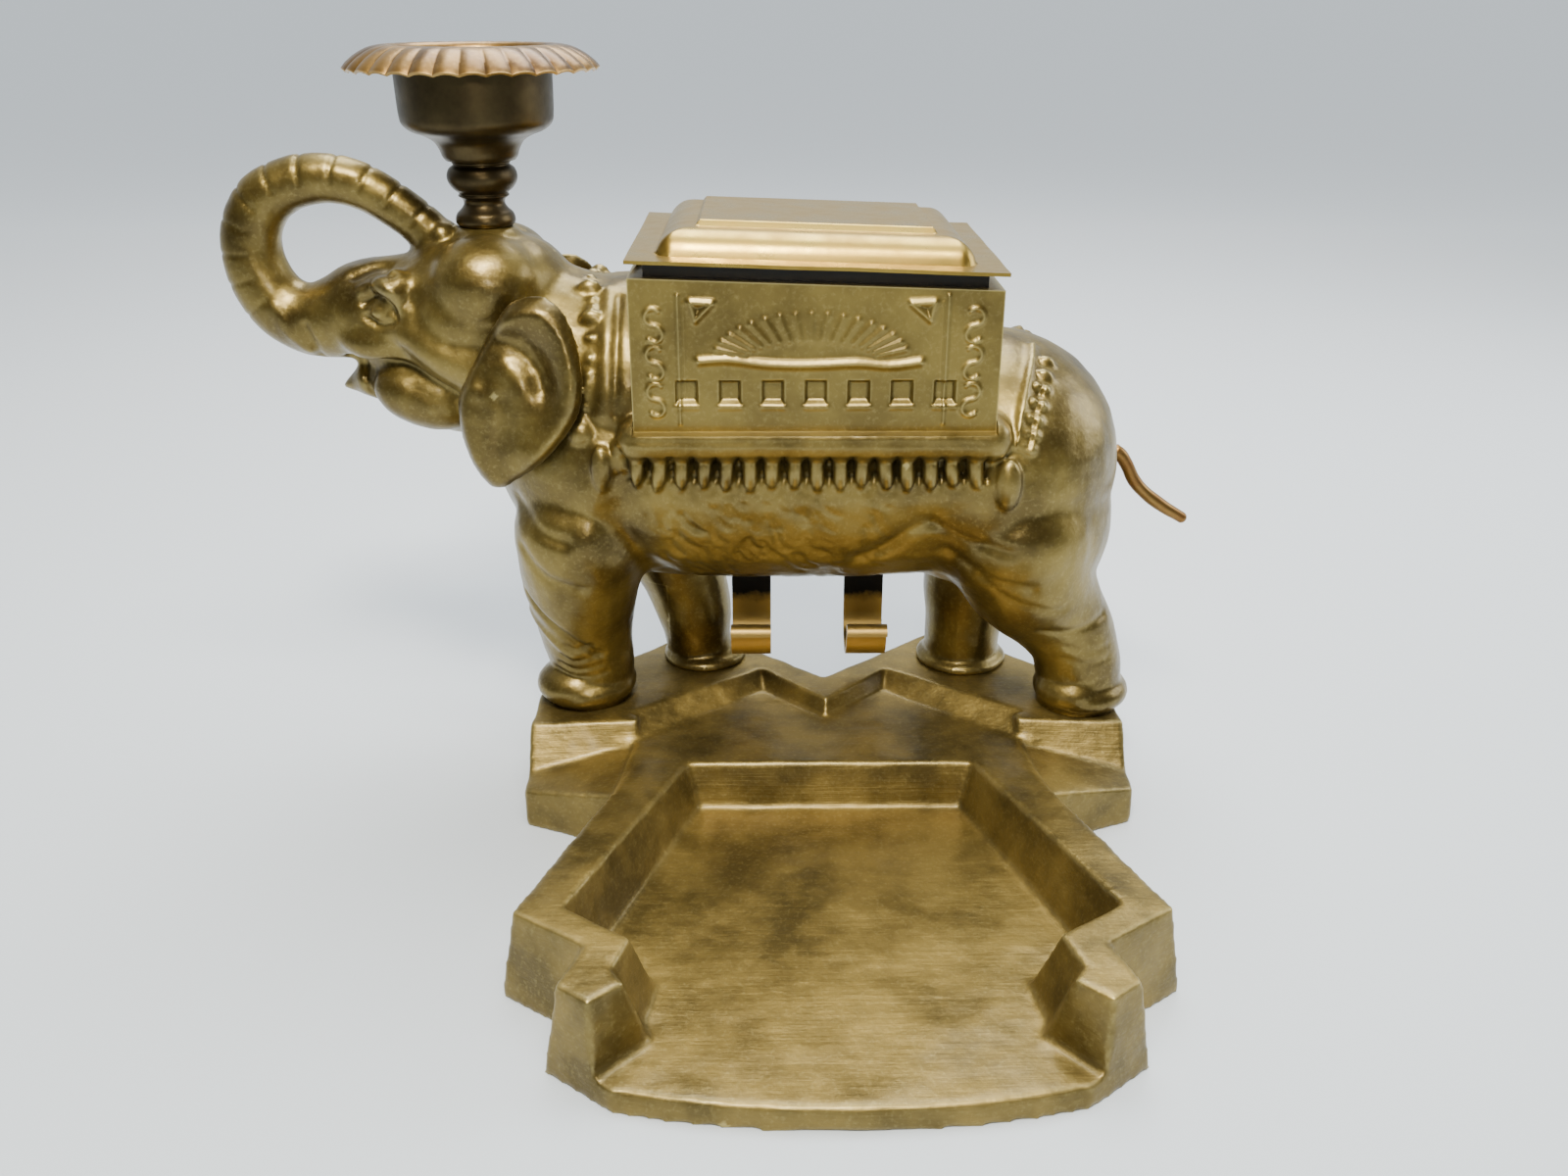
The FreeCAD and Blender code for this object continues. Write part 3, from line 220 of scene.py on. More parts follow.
def strap_metal(name, black, gold):
    """Blackened strip whose curled lower end is gilt up to a ragged line."""
    material, tree, shader, where = new_material(name, Metallic=0.8, Roughness=0.42)
    height = node(tree, "ShaderNodeSeparateXYZ", links={"Vector": where}).outputs["Z"]
    ragged = node(tree, "ShaderNodeMath", {1: 4 * MM}, {0: pattern(tree, where, 3, 3)}, operation="MULTIPLY")
    level = node(tree, "ShaderNodeMath", links={0: height, 1: ragged.outputs["Value"]}, operation="ADD")
    scaled = node(tree, "ShaderNodeMapRange", {"From Min": 40.0 * MM, "From Max": 43.0 * MM},
                  {"Value": level.outputs["Value"]})
    tone = mix(tree, scaled.outputs["Result"], gold, black)
    tree.links.new(tone, shader.inputs["Base Color"])
    add_bump(tree, shader, [(pattern(tree, where, 1.2, 4), 0.05)])
    return material


# -------------------- mesh helpers, all in millimetres
def sizes_mm(name):
    """A size of the panel in millimetres."""
    return getattr(bpy.context.scene.dispenser_sizes, name) / MM


def only(obj):
    """Make obj the only selected object and the active one."""
    bpy.ops.object.select_all(action="DESELECT")
    obj.select_set(True)
    bpy.context.view_layer.objects.active = obj


def modify(obj, kind, **settings):
    """Add a modifier and apply it at once."""
    item = obj.modifiers.new(kind.lower(), kind)
    for key, value in settings.items():
        setattr(item, key, value)
    only(obj)
    bpy.ops.object.modifier_apply(modifier=item.name)
    return obj


def settle(obj):
    """Move the object's place, turn and scale into its vertices."""
    only(obj)
    bpy.ops.object.transform_apply(location=True, rotation=True, scale=True)
    return obj


def join(name, pieces):
    """Join the pieces into the first of them."""
    only(pieces[0])
    for piece in pieces:
        piece.select_set(True)
    if len(pieces) > 1:
        bpy.ops.object.join()
    pieces[0].name = name
    return pieces[0]


def twin(obj, name):
    """Copy of obj with its own mesh."""
    only(obj)
    bpy.ops.object.duplicate()
    copy = bpy.context.active_object
    copy.name = name
    return copy


def cad_twin(part, name):
    """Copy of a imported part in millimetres, with its doubles merged."""
    copy = twin(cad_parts[part], name)
    copy.parent = None
    copy.scale = (1 / MM,) * 3
    return outward(settle(copy))


def add(name, data):
    """New object for its data, linked to the scene."""
    obj = bpy.data.objects.new(name, data)
    bpy.context.collection.objects.link(obj)
    return obj


def add_mesh(name, verts, edges, faces):
    """New object from plain points, edges and faces."""
    mesh = bpy.data.meshes.new(name)
    mesh.from_pydata(verts, edges, faces)
    return add(name, mesh)


def points_of(obj):
    """Places of the vertices as rows of an array."""
    flat = np.empty(len(obj.data.vertices) * 3)
    obj.data.vertices.foreach_get("co", flat)
    return flat.reshape(-1, 3)


def normals_of(obj):
    """Normals of the vertices as rows of an array."""
    flat = np.empty(len(obj.data.vertices) * 3)
    obj.data.vertex_normals.foreach_get("vector", flat)
    return flat.reshape(-1, 3)


def set_points(obj, points):
    """Move the vertices to the rows of an array."""
    obj.data.vertices.foreach_set("co", np.ascontiguousarray(points, dtype=float).ravel())
    obj.data.update()


def blob(middle, radii, pitch=0.0, segments=40):
    """Ellipsoid, turned about Y by pitch in degrees."""
    bpy.ops.mesh.primitive_uv_sphere_add(segments=segments, ring_count=segments // 2, location=middle)
    obj = bpy.context.active_object
    obj.scale = radii
    obj.rotation_euler = (0.0, radians(pitch), 0.0)
    return settle(obj)


def block(low, high):
    """Box between two opposite corners."""
    middle = [(a + b) / 2 for a, b in zip(low, high)]
    bpy.ops.mesh.primitive_cube_add(size=1.0, location=middle)
    obj = bpy.context.active_object
    obj.scale = [b - a for a, b in zip(low, high)]
    return settle(obj)


def rod(middle, radius, depth, vertices, turn=0.0):
    """Upright cylinder, turned about Y by an angle in radians."""
    bpy.ops.mesh.primitive_cylinder_add(vertices=vertices, radius=radius, depth=depth, location=middle,
                                        rotation=(0, turn, 0))
    return settle(bpy.context.active_object)


def curve_through(stations, steps=6):
    """Catmull-Rom curve through stations of any number of values."""
    data = np.asarray(stations, dtype=float)
    padded = np.vstack([2 * data[0] - data[1], data, 2 * data[-1] - data[-2]])
    out = []
    for i in range(1, len(padded) - 2):
        p0, p1, p2, p3 = padded[i - 1:i + 3]
        for t in np.linspace(0, 1, steps, endpoint=False):
            out.append(0.5 * (2 * p1 + (p2 - p0) * t + (2 * p0 - 5 * p1 + 4 * p2 - p3) * t ** 2
                              + (3 * p1 - p0 - 3 * p2 + p3) * t ** 3))
    out.append(data[-1])
    return np.array(out)


def limb(stations, squash=1.0, steps=6, sides=8):
    """Round limb through (x, y, z, radius) stations with ball ends; squash widens it across Y."""
    line = curve_through(stations, steps)
    curve = bpy.data.curves.new("limb", "CURVE")
    curve.dimensions = "3D"
    curve.bevel_depth = 1.0
    curve.bevel_resolution = sides
    curve.use_fill_caps = True
    spline = curve.splines.new("POLY")
    spline.points.add(len(line) - 1)
    for point, (x, y, z, radius) in zip(spline.points, line):
        point.co = (x, y, z, 1.0)
        point.radius = max(radius, 0.05)
    only(add("limb", curve))
    bpy.ops.object.convert(target="MESH")
    obj = bpy.context.active_object
    ends = [blob(stations[i][:3], (stations[i][3],) * 3, segments=28) for i in (0, -1)]
    obj = join("limb", [obj] + ends)
    if squash != 1.0:
        points = points_of(obj)
        points[:, 1] = MID + (points[:, 1] - MID) * squash
        set_points(obj, points)
    return obj


def middle_limb(stations, squash=1.0, **settings):
    """Round limb in the parting plane through (x, z, radius) stations."""
    return limb([(x, MID, z, radius) for x, z, radius in stations], squash, **settings)


def lathe(name, profile, middle, segments=96):
    """Turned piece from a closed (radius, z) profile."""
    edges = [(i, (i + 1) % len(profile)) for i in range(len(profile))]
    obj = add_mesh(name, [(r, 0.0, z) for r, z in profile], edges, [])
    modify(obj, "SCREW", steps=segments, render_steps=segments, use_merge_vertices=True,
           merge_threshold=0.001, use_normal_calculate=True)
    obj.location = middle
    return outward(settle(obj))


def ring_faces(rings, count):
    """Four-sided faces between rings of count points each."""
    return [(a + i, a + count + i, a + count + (i + 1) % count, a + (i + 1) % count)
            for a in range(0, (rings - 1) * count, count) for i in range(count)]


def outward(obj):
    """Merge doubles and turn the faces outwards."""
    only(obj)
    bpy.ops.object.mode_set(mode="EDIT")
    bpy.ops.mesh.select_all(action="SELECT")
    bpy.ops.mesh.remove_doubles(threshold=0.0005)
    bpy.ops.mesh.normals_make_consistent(inside=False)
    bpy.ops.object.mode_set(mode="OBJECT")
    return obj


def sheet(name, nx, ny):
    """Flat grid of nx by ny squares, and how far along and across it each vertex lies, from 0 to 1."""
    bpy.ops.mesh.primitive_grid_add(x_subdivisions=nx, y_subdivisions=ny, size=2.0)
    obj = bpy.context.active_object
    obj.name = name
    flat = points_of(obj)
    return obj, (flat[:, 0] + 1) / 2, (flat[:, 1] + 1) / 2


def cut_with(obj, cutter, operation="DIFFERENCE", keep=False):
    """Boolean of obj with a cutter, which is then removed unless it is kept."""
    modify(obj, "BOOLEAN", object=cutter, operation=operation, solver="MANIFOLD")
    if not keep:
        bpy.data.objects.remove(cutter)


def remesh(obj, voxel, smooth):
    """Melt obj into one even mesh and smooth it."""
    modify(obj, "REMESH", mode="VOXEL", voxel_size=voxel)
    modify(obj, "SMOOTH", factor=0.5, iterations=smooth)


def unevenness(obj, layers):
    """Push the surface in and out with (size, depth) layers of smooth noise, in millimetres."""
    points = points_of(obj)
    push = np.zeros(len(points))
    for size, depth in layers:
        push += depth * np.array([noise.noise(p) for p in (points / size).tolist()])
    set_points(obj, points + normals_of(obj) * push[:, None])


def hand_over(obj, body, finish, replaces, smooth_angle):
    """Scale to metres, shade, paint and attach a finished piece."""
    obj.scale = (MM, MM, MM)
    settle(obj)
    bpy.ops.object.shade_smooth_by_angle(angle=radians(smooth_angle))
    obj.data.materials.clear()
    obj.data.materials.append(materials()[finish])
    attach(obj, body)
    if replaces:
        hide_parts(*replaces)


def tilt_points(points):
    """Turn level points into the plane of the box rim."""
    out = points - np.array(TILT_TOP)
    x, z = out[:, 0].copy(), out[:, 2].copy()
    out[:, 0] = x * cos(TILT) + z * sin(TILT)
    out[:, 2] = -x * sin(TILT) + z * cos(TILT)
    return out + np.array(TILT_TOP)


# -------------------- elephant
class Skin:
    """Gathers coded brush strokes on a mesh, then pushes all of them at once."""

    def __init__(self, obj):
        self.obj = obj
        self.points = points_of(obj)
        self.normals = normals_of(obj)
        self.push = np.zeros(len(self.points))
        polygons = [tuple(p.vertices) for p in obj.data.polygons]
        self.tree = BVHTree.FromPolygons(self.points.tolist(), polygons)

    def land(self, x, z, side):
        """Where a ray across the figure meets its outer surface on one side."""
        start = Vector((x, MID + side * 90.0, z))
        hit = self.tree.ray_cast(start, Vector((0, -side, 0)))[0]
        return hit if hit else Vector((x, MID + side * 4.0, z))

    def stroke(self, line, width, height, sides=SIDES):
        """A ridge, or a groove with a negative height, along a line of (x, z) points."""
        path = curve_through(line, 8)
        for side in sides:
            self.follow(np.array([self.land(x, z, side) for x, z in path]), width, height)

    def follow(self, spine, width, height):
        """The same along (x, y, z) points; nothing past reach is moved."""
        reach = width * 2.6
        low, high = spine.min(0) - reach, spine.max(0) + reach
        near = np.where(((self.points > low) & (self.points < high)).all(1))[0]
        if not len(near):
            return
        chosen = self.points[near]
        best = np.full(len(near), 1e9)
        for a, b in zip(spine[:-1], spine[1:]):
            along = b - a
            t = np.clip(((chosen - a) @ along) / max(float(along @ along), 1e-9), 0, 1)
            gap = chosen - (a + t[:, None] * along)
            best = np.minimum(best, (gap * gap).sum(1))
        self.push[near] += height * np.exp(-best / (width * width))

    def done(self):
        """Move the vertices by all the strokes together."""
        set_points(self.obj, self.points + self.normals * self.push[:, None])


def pair(middle, radii, pitch=0.0, segments=40):
    """The same ellipsoid on the near and the far side."""
    x, y, z = middle
    return [blob((x, MID + side * (MID - y), z), radii, pitch, segments=segments) for side in SIDES]


def studs(skin, x, z, radii, lift=0.0, pitch=0.0, segments=20):
    """The same ellipsoid on both sides, at the skin or lifted off it."""
    return [blob((x, skin.land(x, z, side).y + side * lift, z), radii, pitch, segments=segments)
            for side in SIDES]


# the raised trunk, as (x, z, radius) from the face to the tip
TRUNK = [(-107.2, 115, 11.9), (-113.5, 113.8, 9.6), (-119.5, 113.3, 8.5), (-125.6, 115.9, 7.6),
         (-130, 122.8, 7.1), (-130.8, 132, 6.7), (-126.4, 140.2, 6.3), (-117, 144.4, 5.7),
         (-107, 143.9, 5.4), (-98.4, 139.4, 5.1), (-91.5, 133.8, 5.1), (-87.6, 128.6, 5.3)]


def soft_forms():
    """Torso, neck, head and legs, to be melted together."""
    forms = [
        middle_limb([(-55, 84, 24.5), (-48, 82.5, 27.6), (-38, 80, 28.4), (-15, 79, 28.4), (8, 79, 28.4),
                     (25, 80.2, 28.4), (40, 80.8, 29.6)], 1.08),
        blob((38, MID, 79.5), (31.6, 32, 31.4)),
        blob((50, MID, 66), (19.5, 28, 24)),
        blob((-51, MID, 83), (28.4, 29.5, 28.5)),
        blob((-57.5, MID, 70), (17, 26.5, 24)),
        middle_limb([(-46, 97, 27), (-58, 101, 24), (-70, 107, 21), (-80, 111, 19.5)]),
        middle_limb([(-82, 99, 11), (-71, 93, 13), (-60, 84, 20)]),
        blob((-71, MID, 118.5), (12.5, 18, 14)),
        blob((-82.5, MID, 112.5), (19.5, 19.5, 20.5)),
        middle_limb([(-84, 112, 18.5), (-92, 113.5, 16.2), (-99.5, 114.6, 13.6)] + TRUNK, 0.98),
        middle_limb([(-86, 97.5, 11), (-95, 98.2, 9.4), (-102, 99.4, 7), (-107, 99.6, 4.6)], 1.18),
        middle_limb([(-107, 99.6, 4.6), (-110.5, 98.6, 2.8), (-114, 97.6, 1)], 1.5),
    ]
    forms += pair((-76.8, 40.6, 123), (12.6, 11.2, 11))
    forms += pair((-96.6, 39.2, 122.6), (4.6, 4.2, 4.6), pitch=-28)
    forms += pair((-93.6, 42, 97), (12, 6.8, 7), pitch=20)
    forms += pair((-101, 42.6, 109.6), (11, 6, 4.6), pitch=8)
    forms += pair((-88, 37.6, 111), (9.5, 4.6, 5), pitch=20)
    legs = [
        [(-60, 42.5, DECK + 1, 10.8), (-58.6, 42.4, 28, 10.4), (-59.6, 42, 36, 11.3),
         (-59.6, 40.2, 45, 12.6), (-59.4, 37.5, 55, 14.6), (-58, 36, 66, 16.5)],
        [(63.3, 37.8, DECK + 1, 10.4), (63, 38, 28, 10.6), (60.6, 38.2, 37, 11),
         (55, 37.8, 45.5, 12.8), (48.5, 36.2, 54.5, 16), (44, 36, 66, 19)],
        [(-31.5, 63, DECK + 1, 8.4), (-33.3, 63, 23, 8.2), (-33.8, 63, 31.5, 9.8),
         (-36.5, 63.6, 42.6, 11), (-42, 64.5, 58, 14)],
        [(37, 61.5, DECK + 1, 10), (37, 61.5, 22.5, 9.8), (37.4, 61.8, 33, 10.4),
         (38, 62.5, 43, 11.8), (42, 64.5, 58, 15)],
    ]
    return forms + [limb(stations) for stations in legs]


# the ear, as (x, z)
EAR_EDGE = [(-73, 117.8), (-69, 122.3), (-62.6, 123.9), (-57.4, 120.4), (-54.5, 113.4), (-53.8, 106),
            (-55.2, 98.7), (-60.6, 91), (-68.3, 84.2), (-74.6, 80.6), (-78.2, 82.6), (-80.8, 87.8),
            (-82.4, 95.2), (-82.2, 101), (-79.6, 107), (-76.2, 113)]
EAR_RIM = [(-71.5, 118.4), (-67.5, 120.6), (-61.8, 120.4), (-57.6, 115.4), (-56, 107), (-58, 98),
           (-64, 90)]
EAR_VALLEY = [(-74.4, 115.2), (-69.5, 114), (-64.8, 110.4), (-62.4, 104.6)]
EAR_FOLD = [(-76.6, 108), (-73, 104.6), (-72.4, 99.5), (-74, 92), (-75.6, 86)]


def line_relief(px, pz, line, width, height):
    """Height of a rounded raised line over a panel."""
    best = np.full(px.shape, 1e9)
    for (ax, az), (bx, bz) in zip(line[:-1], line[1:]):
        dx, dz = bx - ax, bz - az
        t = np.clip(((px - ax) * dx + (pz - az) * dz) / max(dx * dx + dz * dz, 1e-9), 0, 1)
        best = np.minimum(best, (px - ax - t * dx) ** 2 + (pz - az - t * dz) ** 2)
    return height * np.exp(-best / (width * width))


def bulge(px, pz, line, width):
    """Rounded strip around a line, one at its middle."""
    return line_relief(np.array([px]), np.array([pz]), line, width, 1)[0]


def ear(side):
    """Leaf of the ear: a thick rolled rim over a deep valley, a full middle and a folded front lobe."""
    loop = curve_through(EAR_EDGE + [EAR_EDGE[0]], 6)[:-1]
    rim, valley, fold = (curve_through(line, 4).tolist() for line in (EAR_RIM, EAR_VALLEY, EAR_FOLD))
    centre = np.array((-69.0, 101.5))
    rings, count, edge_start, edge_share = 24, len(loop), 0.82, 0.18

    def out(px, pz, share):
        """Distance from the parting plane; share is 0 at the centre and 1 at the edge."""
        plane = 28.4 + 0.13 * (px + 69.0) - 0.10 * max(pz - 104.0, 0.0) + 0.04 * (98.0 - pz)
        lift = 2.4 * bulge(px, pz, rim, 4.6) - 2.4 * bulge(px, pz, valley, 3.0)
        lift -= 0.7 * bulge(px, pz, fold, 3.0)
        lift += 0.6 * bulge(px, pz, [(-78.6, 98.0), (-78.8, 89.0)], 4.5)
        lift += 1.0 * bulge(px, pz, [(-68.0, 102.0), (-69.5, 92.0)], 6.5)
        return plane + lift - 3.0 * (max(share - edge_start, 0.0) / edge_share) ** 2

    verts = []
    for ring in range(1, rings + 1):
        share = ring / rings
        for x, z in loop:
            px, pz = centre + (np.array((x, z)) - centre) * share
            verts.append((px, MID + side * out(px, pz, share), pz))
    verts.append((centre[0], MID + side * out(centre[0], centre[1], 0.0), centre[1]))
    hub = len(verts) - 1
    faces = [(hub, i, (i + 1) % count) for i in range(count)] + ring_faces(rings, count)
    obj = outward(add_mesh("ear", verts, [], faces))
    faces_out = sum(p.normal.y for p in obj.data.polygons) * side > 0
    return modify(obj, "SOLIDIFY", thickness=5.5, offset=-1.0 if faces_out else 1.0)


TASSEL_STEP = 4.95             # spacing of the fringe's tassels
FIRST_TASSEL = -43.2
# the beaded band behind the ear, with three larger beads on it
BEADS = [(-54.4, 123.4), (-53.2, 121), (-53, 116.6), (-53.2, 106.2), (-54.2, 101.9), (-55.4, 93.7)]
BIG_BEADS = ((-54, 121.6, 2.7), (-53, 116.8, 2.4), (-55.6, 93.6, 2.8))
# the knobbed border of the cloth on the haunch
BORDER = [(42.8, 91.1), (44.4, 96.6), (46.6, 102.1), (48.8, 106.1)]


def crisp_forms(skin):
    """Feet, saddle cloth, tassels, beads and eyes that stay sharp on the melted body."""
    forms = [ear(side) for side in SIDES]
    for x, y, radius, high in ((-60.3, 42.3, 12.4, 5.9), (63.8, 37.6, 11.8, 5.7)):
        forms.append(blob((x, y, 23.4), (radius, radius, high)))
        forms.append(blob((x - 2.5, y - 3, 24.6), (radius * 0.78, radius * 0.74, high)))
    forms.append(blob((CUP_X, MID, 130.6), (8.6, 8.6, 5.4)))
    forms.append(blob((-87, MID - 1, 132.6), (3.6, 4.6, 3.2), pitch=20))
    for x, y, radius in ((-31.5, 63, 11), (37, 61.5, 12)):
        forms.append(blob((x, y, 20.6), (radius, radius, 3)))
    cloth = block((-47.2, 15.8, 88.6), (39, 85.2, 98.4))
    skirt = block((-48.6, 20.3, 85.2), (39.4, 80.7, 93))
    forms += [modify(cloth, "BEVEL", width=4.6, segments=3), modify(skirt, "BEVEL", width=1.2, segments=2)]
    for i in range(16):
        x = FIRST_TASSEL + i * TASSEL_STEP + 0.3 * sin(i * 3.1)
        lean = 8 - i * 1.1 + 3 * sin(i * 2.1)
        long = 4.6 + 0.5 * sin(i * 1.7)
        forms += pair((x, 19.9, 86.6), (1.75, 2.2, long), lean, 20)
    for x, z, radii in ((-51, 86.6, (2.5, 2, 5.2)), (38.6, 83.5, (3, 2.2, 6))):
        forms += studs(skin, x, z, radii, 0.2, segments=24)
    for x, z in curve_through(BEADS, 3):
        forms += studs(skin, x, z, (1.15, 0.8, 1.25), segments=16)
    for x, z, size in BIG_BEADS:
        forms += studs(skin, x, z, (size, size * 0.6, size))
    for x, z in curve_through(BORDER, 2):
        forms += studs(skin, x, z, (2.3, 1.5, 1.5), pitch=35)
    return forms + studs(skin, -100.4, 117.6, (2.1, 1.4, 1.5), -0.3, -15)


# strokes on both sides: width, height (a groove where negative) and a line of (x, z) points
STROKES = (
    # face
    (1.3, -1.7, [(-110.5, 105.4), (-103, 105.6), (-95, 105), (-88.5, 101.2), (-84.5, 98.4)]),
    (4.2, 1, [(-96.5, 113.6), (-89.5, 109.6), (-81, 104.6)]),
    (1.8, -0.5, [(-95.5, 108.6), (-90, 105), (-85, 101)]),
    (0.9, -0.7, [(-118.8, 113.5), (-117.6, 109), (-117.4, 105.5)]),
    (1.6, 0.6, [(-125.5, 117), (-122.5, 111.5), (-119.5, 107.5)]),
    (2.8, -0.9, [(-91.5, 119.5), (-90, 115.5), (-85.5, 112.4), (-79, 111)]),
    (0.9, -1.1, [(-103.8, 119.6), (-100.8, 121.2), (-97.4, 119.6), (-96, 116.4)]),
    (0.9, -1, [(-103.4, 116.4), (-100.4, 114.8), (-97.2, 115.2)]),
    (1.7, 1, [(-104.6, 121.6), (-100, 123.8), (-96.2, 122), (-94.6, 118.8)]),
    (0.9, -0.9, [(-107.4, 103.6), (-106.8, 99.5), (-105.6, 96)]),
    (1.4, -0.9, [(-107, 124.5), (-101.5, 126.4), (-96.5, 126.2)]),
    # ear
    (1.8, -0.5, [(-73, 110.4), (-69.6, 110.8), (-66, 109)]),
    (1.8, 0.4, [(-77.4, 103.4), (-75, 102.4), (-73.8, 104.4)]),
    (1.4, 0.4, [(-74, 100), (-75.4, 92), (-75.6, 86)]),
    # neck and its two bands
    (1.6, 0.6, [(-49.8, 122), (-49.6, 111), (-50.4, 98)]),
    (0.8, -0.5, [(-47.2, 121), (-47.2, 111), (-47.6, 98)]),
    # saddle cloth
    (0.5, -0.25, [(-44.5, 94.2), (-10, 94), (37, 93.6)]),
    (1.1, 1.2, [(40.2, 92), (41.4, 98), (43.4, 103.6), (46, 108.6)]),
    (0.9, -0.8, [(42.6, 92), (44.2, 98), (46.6, 103.6)]),
    # shoulder, foreleg, flank and haunch
    (3.8, -1.1, [(-46, 82), (-47, 72), (-43, 63), (-38, 56)]),
    (3.6, 0.6, [(-53, 80), (-55, 70), (-52, 60)]),
    (2.4, -1.1, [(22, 73.5), (17, 71), (12, 66.5), (6, 62.5)]),
    (1.5, -0.5, [(23, 73), (31, 69.5), (40, 67.5)]),
    (1.6, -0.5, [(26, 66), (36, 60.5), (46, 58)]),
    (1.3, -0.35, [(34, 60), (44, 53.5), (54, 51)]),
    (1.2, -0.5, [(50, 45), (58, 44), (66, 46)]),
    (1.5, -0.7, [(-71, 66), (-66, 60), (-58, 57)]),
    (1.7, -0.6, [(-72, 76), (-66, 71), (-60, 69.5)]),
)


def detail(skin):
    """Folds and wrinkles, the gaps of the fringe and the hair of the belly."""
    for width, height, line in STROKES:
        skin.stroke(line, width, height)
    for i in range(17):
        x = FIRST_TASSEL - 2.5 + i * TASSEL_STEP
        skin.stroke([(x, 90), (x + 0.3, 84.6)], 0.65, -0.9)
    # only the near foreleg and the near haunch are creased
    skin.stroke([(-72, 52), (-66, 45.5), (-59, 38.5), (-55, 35.5)], 1.1, -0.9, sides=(-1,))
    skin.stroke([(-73, 47), (-68, 41), (-62, 35.5)], 1.3, 0.6, sides=(-1,))
    for i, z in enumerate((29.4, 31.8, 34.6, 38)):
        skin.stroke([(-66.5 + i, z + 0.6), (-61, z - 0.4), (-54 - i, z + 0.9)], 0.8, -0.38, sides=(-1,))
        if i != 1:
            skin.stroke([(57, z + 1.4), (62, z - 0.2), (68, z + 0.4)], 0.8, -0.22, sides=(-1,))
    # hair lines of the belly, left out where the flank and the shoulder begin
    chance = np.random.default_rng(7)
    for _ in range(110):
        x, z = chance.uniform(-42, 20), chance.uniform(53, 83)
        if x > 8 + (83 - z) * 0.2 or x < -44 + (83 - z) * 0.3:
            continue
        long, lean = chance.uniform(3, 7), chance.uniform(0.7, 1.15)
        end = (x + long * cos(lean), z - long * sin(lean))
        bend = ((x + end[0]) / 2 - 0.5, (z + end[1]) / 2 - 0.4)
        skin.stroke([(x, z), bend, end], chance.uniform(0.55, 0.9), -chance.uniform(0.15, 0.34))


def trunk_rings(skin):
    """Grooves around the raised trunk, deepest on its outer side."""
    line = curve_through(TRUNK[2:], 10)
    steps = np.linalg.norm(np.diff(line[:, [0, 1]], axis=0), axis=1)
    travel = np.concatenate([[0], np.cumsum(steps)])
    centre = np.array((-112.0, 130.0))
    for mark in (10, 15.5, 21, 26.5, 32, 38, 44.5, 51, 57.5, 64, 70.5):
        x, z, radius = (np.interp(mark, travel, line[:, k]) for k in range(3))
        after = np.array([np.interp(mark + 1, travel, line[:, k]) for k in range(2)]) - (x, z)
        along = after / np.linalg.norm(after)
        across = np.array((along[1], -along[0]))
        if np.dot(across, np.array((x, z)) - centre) < 0:
            across = -across
        ring = []
        for angle in np.radians(np.arange(-95, 96, 10)):
            out = radius * cos(angle)
            ring.append((x + across[0] * out, MID + radius * sin(angle), z + across[1] * out))
        skin.follow(np.array(ring), 0.5, -0.32 if mark < 28 else -0.5)


def sculpt_elephant():
    """The whole figure as one closed mesh."""
    body = join("elephant", soft_forms())
    remesh(body, 0.9, 14)
    skin = Skin(body)
    body = join("elephant", [body] + crisp_forms(skin))
    remesh(body, sizes_mm("cell"), 3)
    skin = Skin(body)
    detail(skin)
    trunk_rings(skin)
    skin.done()
    unevenness(body, [(7.0, 0.20), (2.6, 0.07)])
    modify(body, "SMOOTH", factor=0.35, iterations=1)
    # below the feet, the seat of the box, room for the hopper, and the slot in the belly
    for low, high in (((-150, -60, -10), (150, 160, DECK)),
                      ((BOX_X - 39.4, -10, 95.5), (BOX_X + 39.4, 120, 160)),
                      ((BOX_X - 36.5, MID - 17, 63.5), (BOX_X + 36.5, MID + 17, 130)),
                      ((-27, MID - 5, 46.5), (21, MID + 9, 90))):
        cut_with(body, block(low, high))
    # the seat of the cup and the way of the tail wire
    cut_with(body, rod((CUP_X, MID, CUP_FOOT + 15), 7.6, 30, 64))
    cut_with(body, rod((50, MID, 81), 1.7, 60, 32, radians(90)))
    return body


class DISPENSER_OT_elephant(bpy.types.Operator):
    """Sculpt the elephant and part it into its two cast halves"""
    bl_idname = "dispenser.elephant"
    bl_label = "Elephant halves"

    def execute(self, context):
        body = sculpt_elephant()
        near = twin(body, "left_half_look")
        region = block((-200, -80, -20), (200, MID, 200))
        stride = block((-80.3, MID - 4, 0), (-40.3, MID + 15, 44.5))
        cut_with(region, stride, "UNION")              # the near foreleg steps past the parting plane
        cut_with(near, region, "INTERSECT", keep=True)
        cut_with(body, region, "DIFFERENCE")
        body.name = "right_half_look"
        for obj, gone in ((near, "left_body_half"), (body, "right_body_half")):
            if len(obj.data.polygons) < 1000:
                raise RuntimeError(f"{obj.name} came out empty")
            hand_over(obj, "stand", "gilt_iron", (gone,), 60)
        return {"FINISHED"}


# -------------------- base
class DISPENSER_OT_base(bpy.types.Operator):
    """Round the edges of the ashtray base like a sand casting"""
    bl_idname = "dispenser.base"
    bl_label = "Ashtray base"

    def execute(self, context):
        base = cad_twin("ashtray_base", "base_look")
        remesh(base, sizes_mm("base_cell"), 5)
        unevenness(base, [(9.0, 0.22), (3.0, 0.08)])
        points = points_of(base)
        points[:, 2] = np.maximum(points[:, 2], 0.0)
        set_points(base, points)
        hand_over(base, "stand", "gilt_base", ("ashtray_base",), 60)
        return {"FINISHED"}


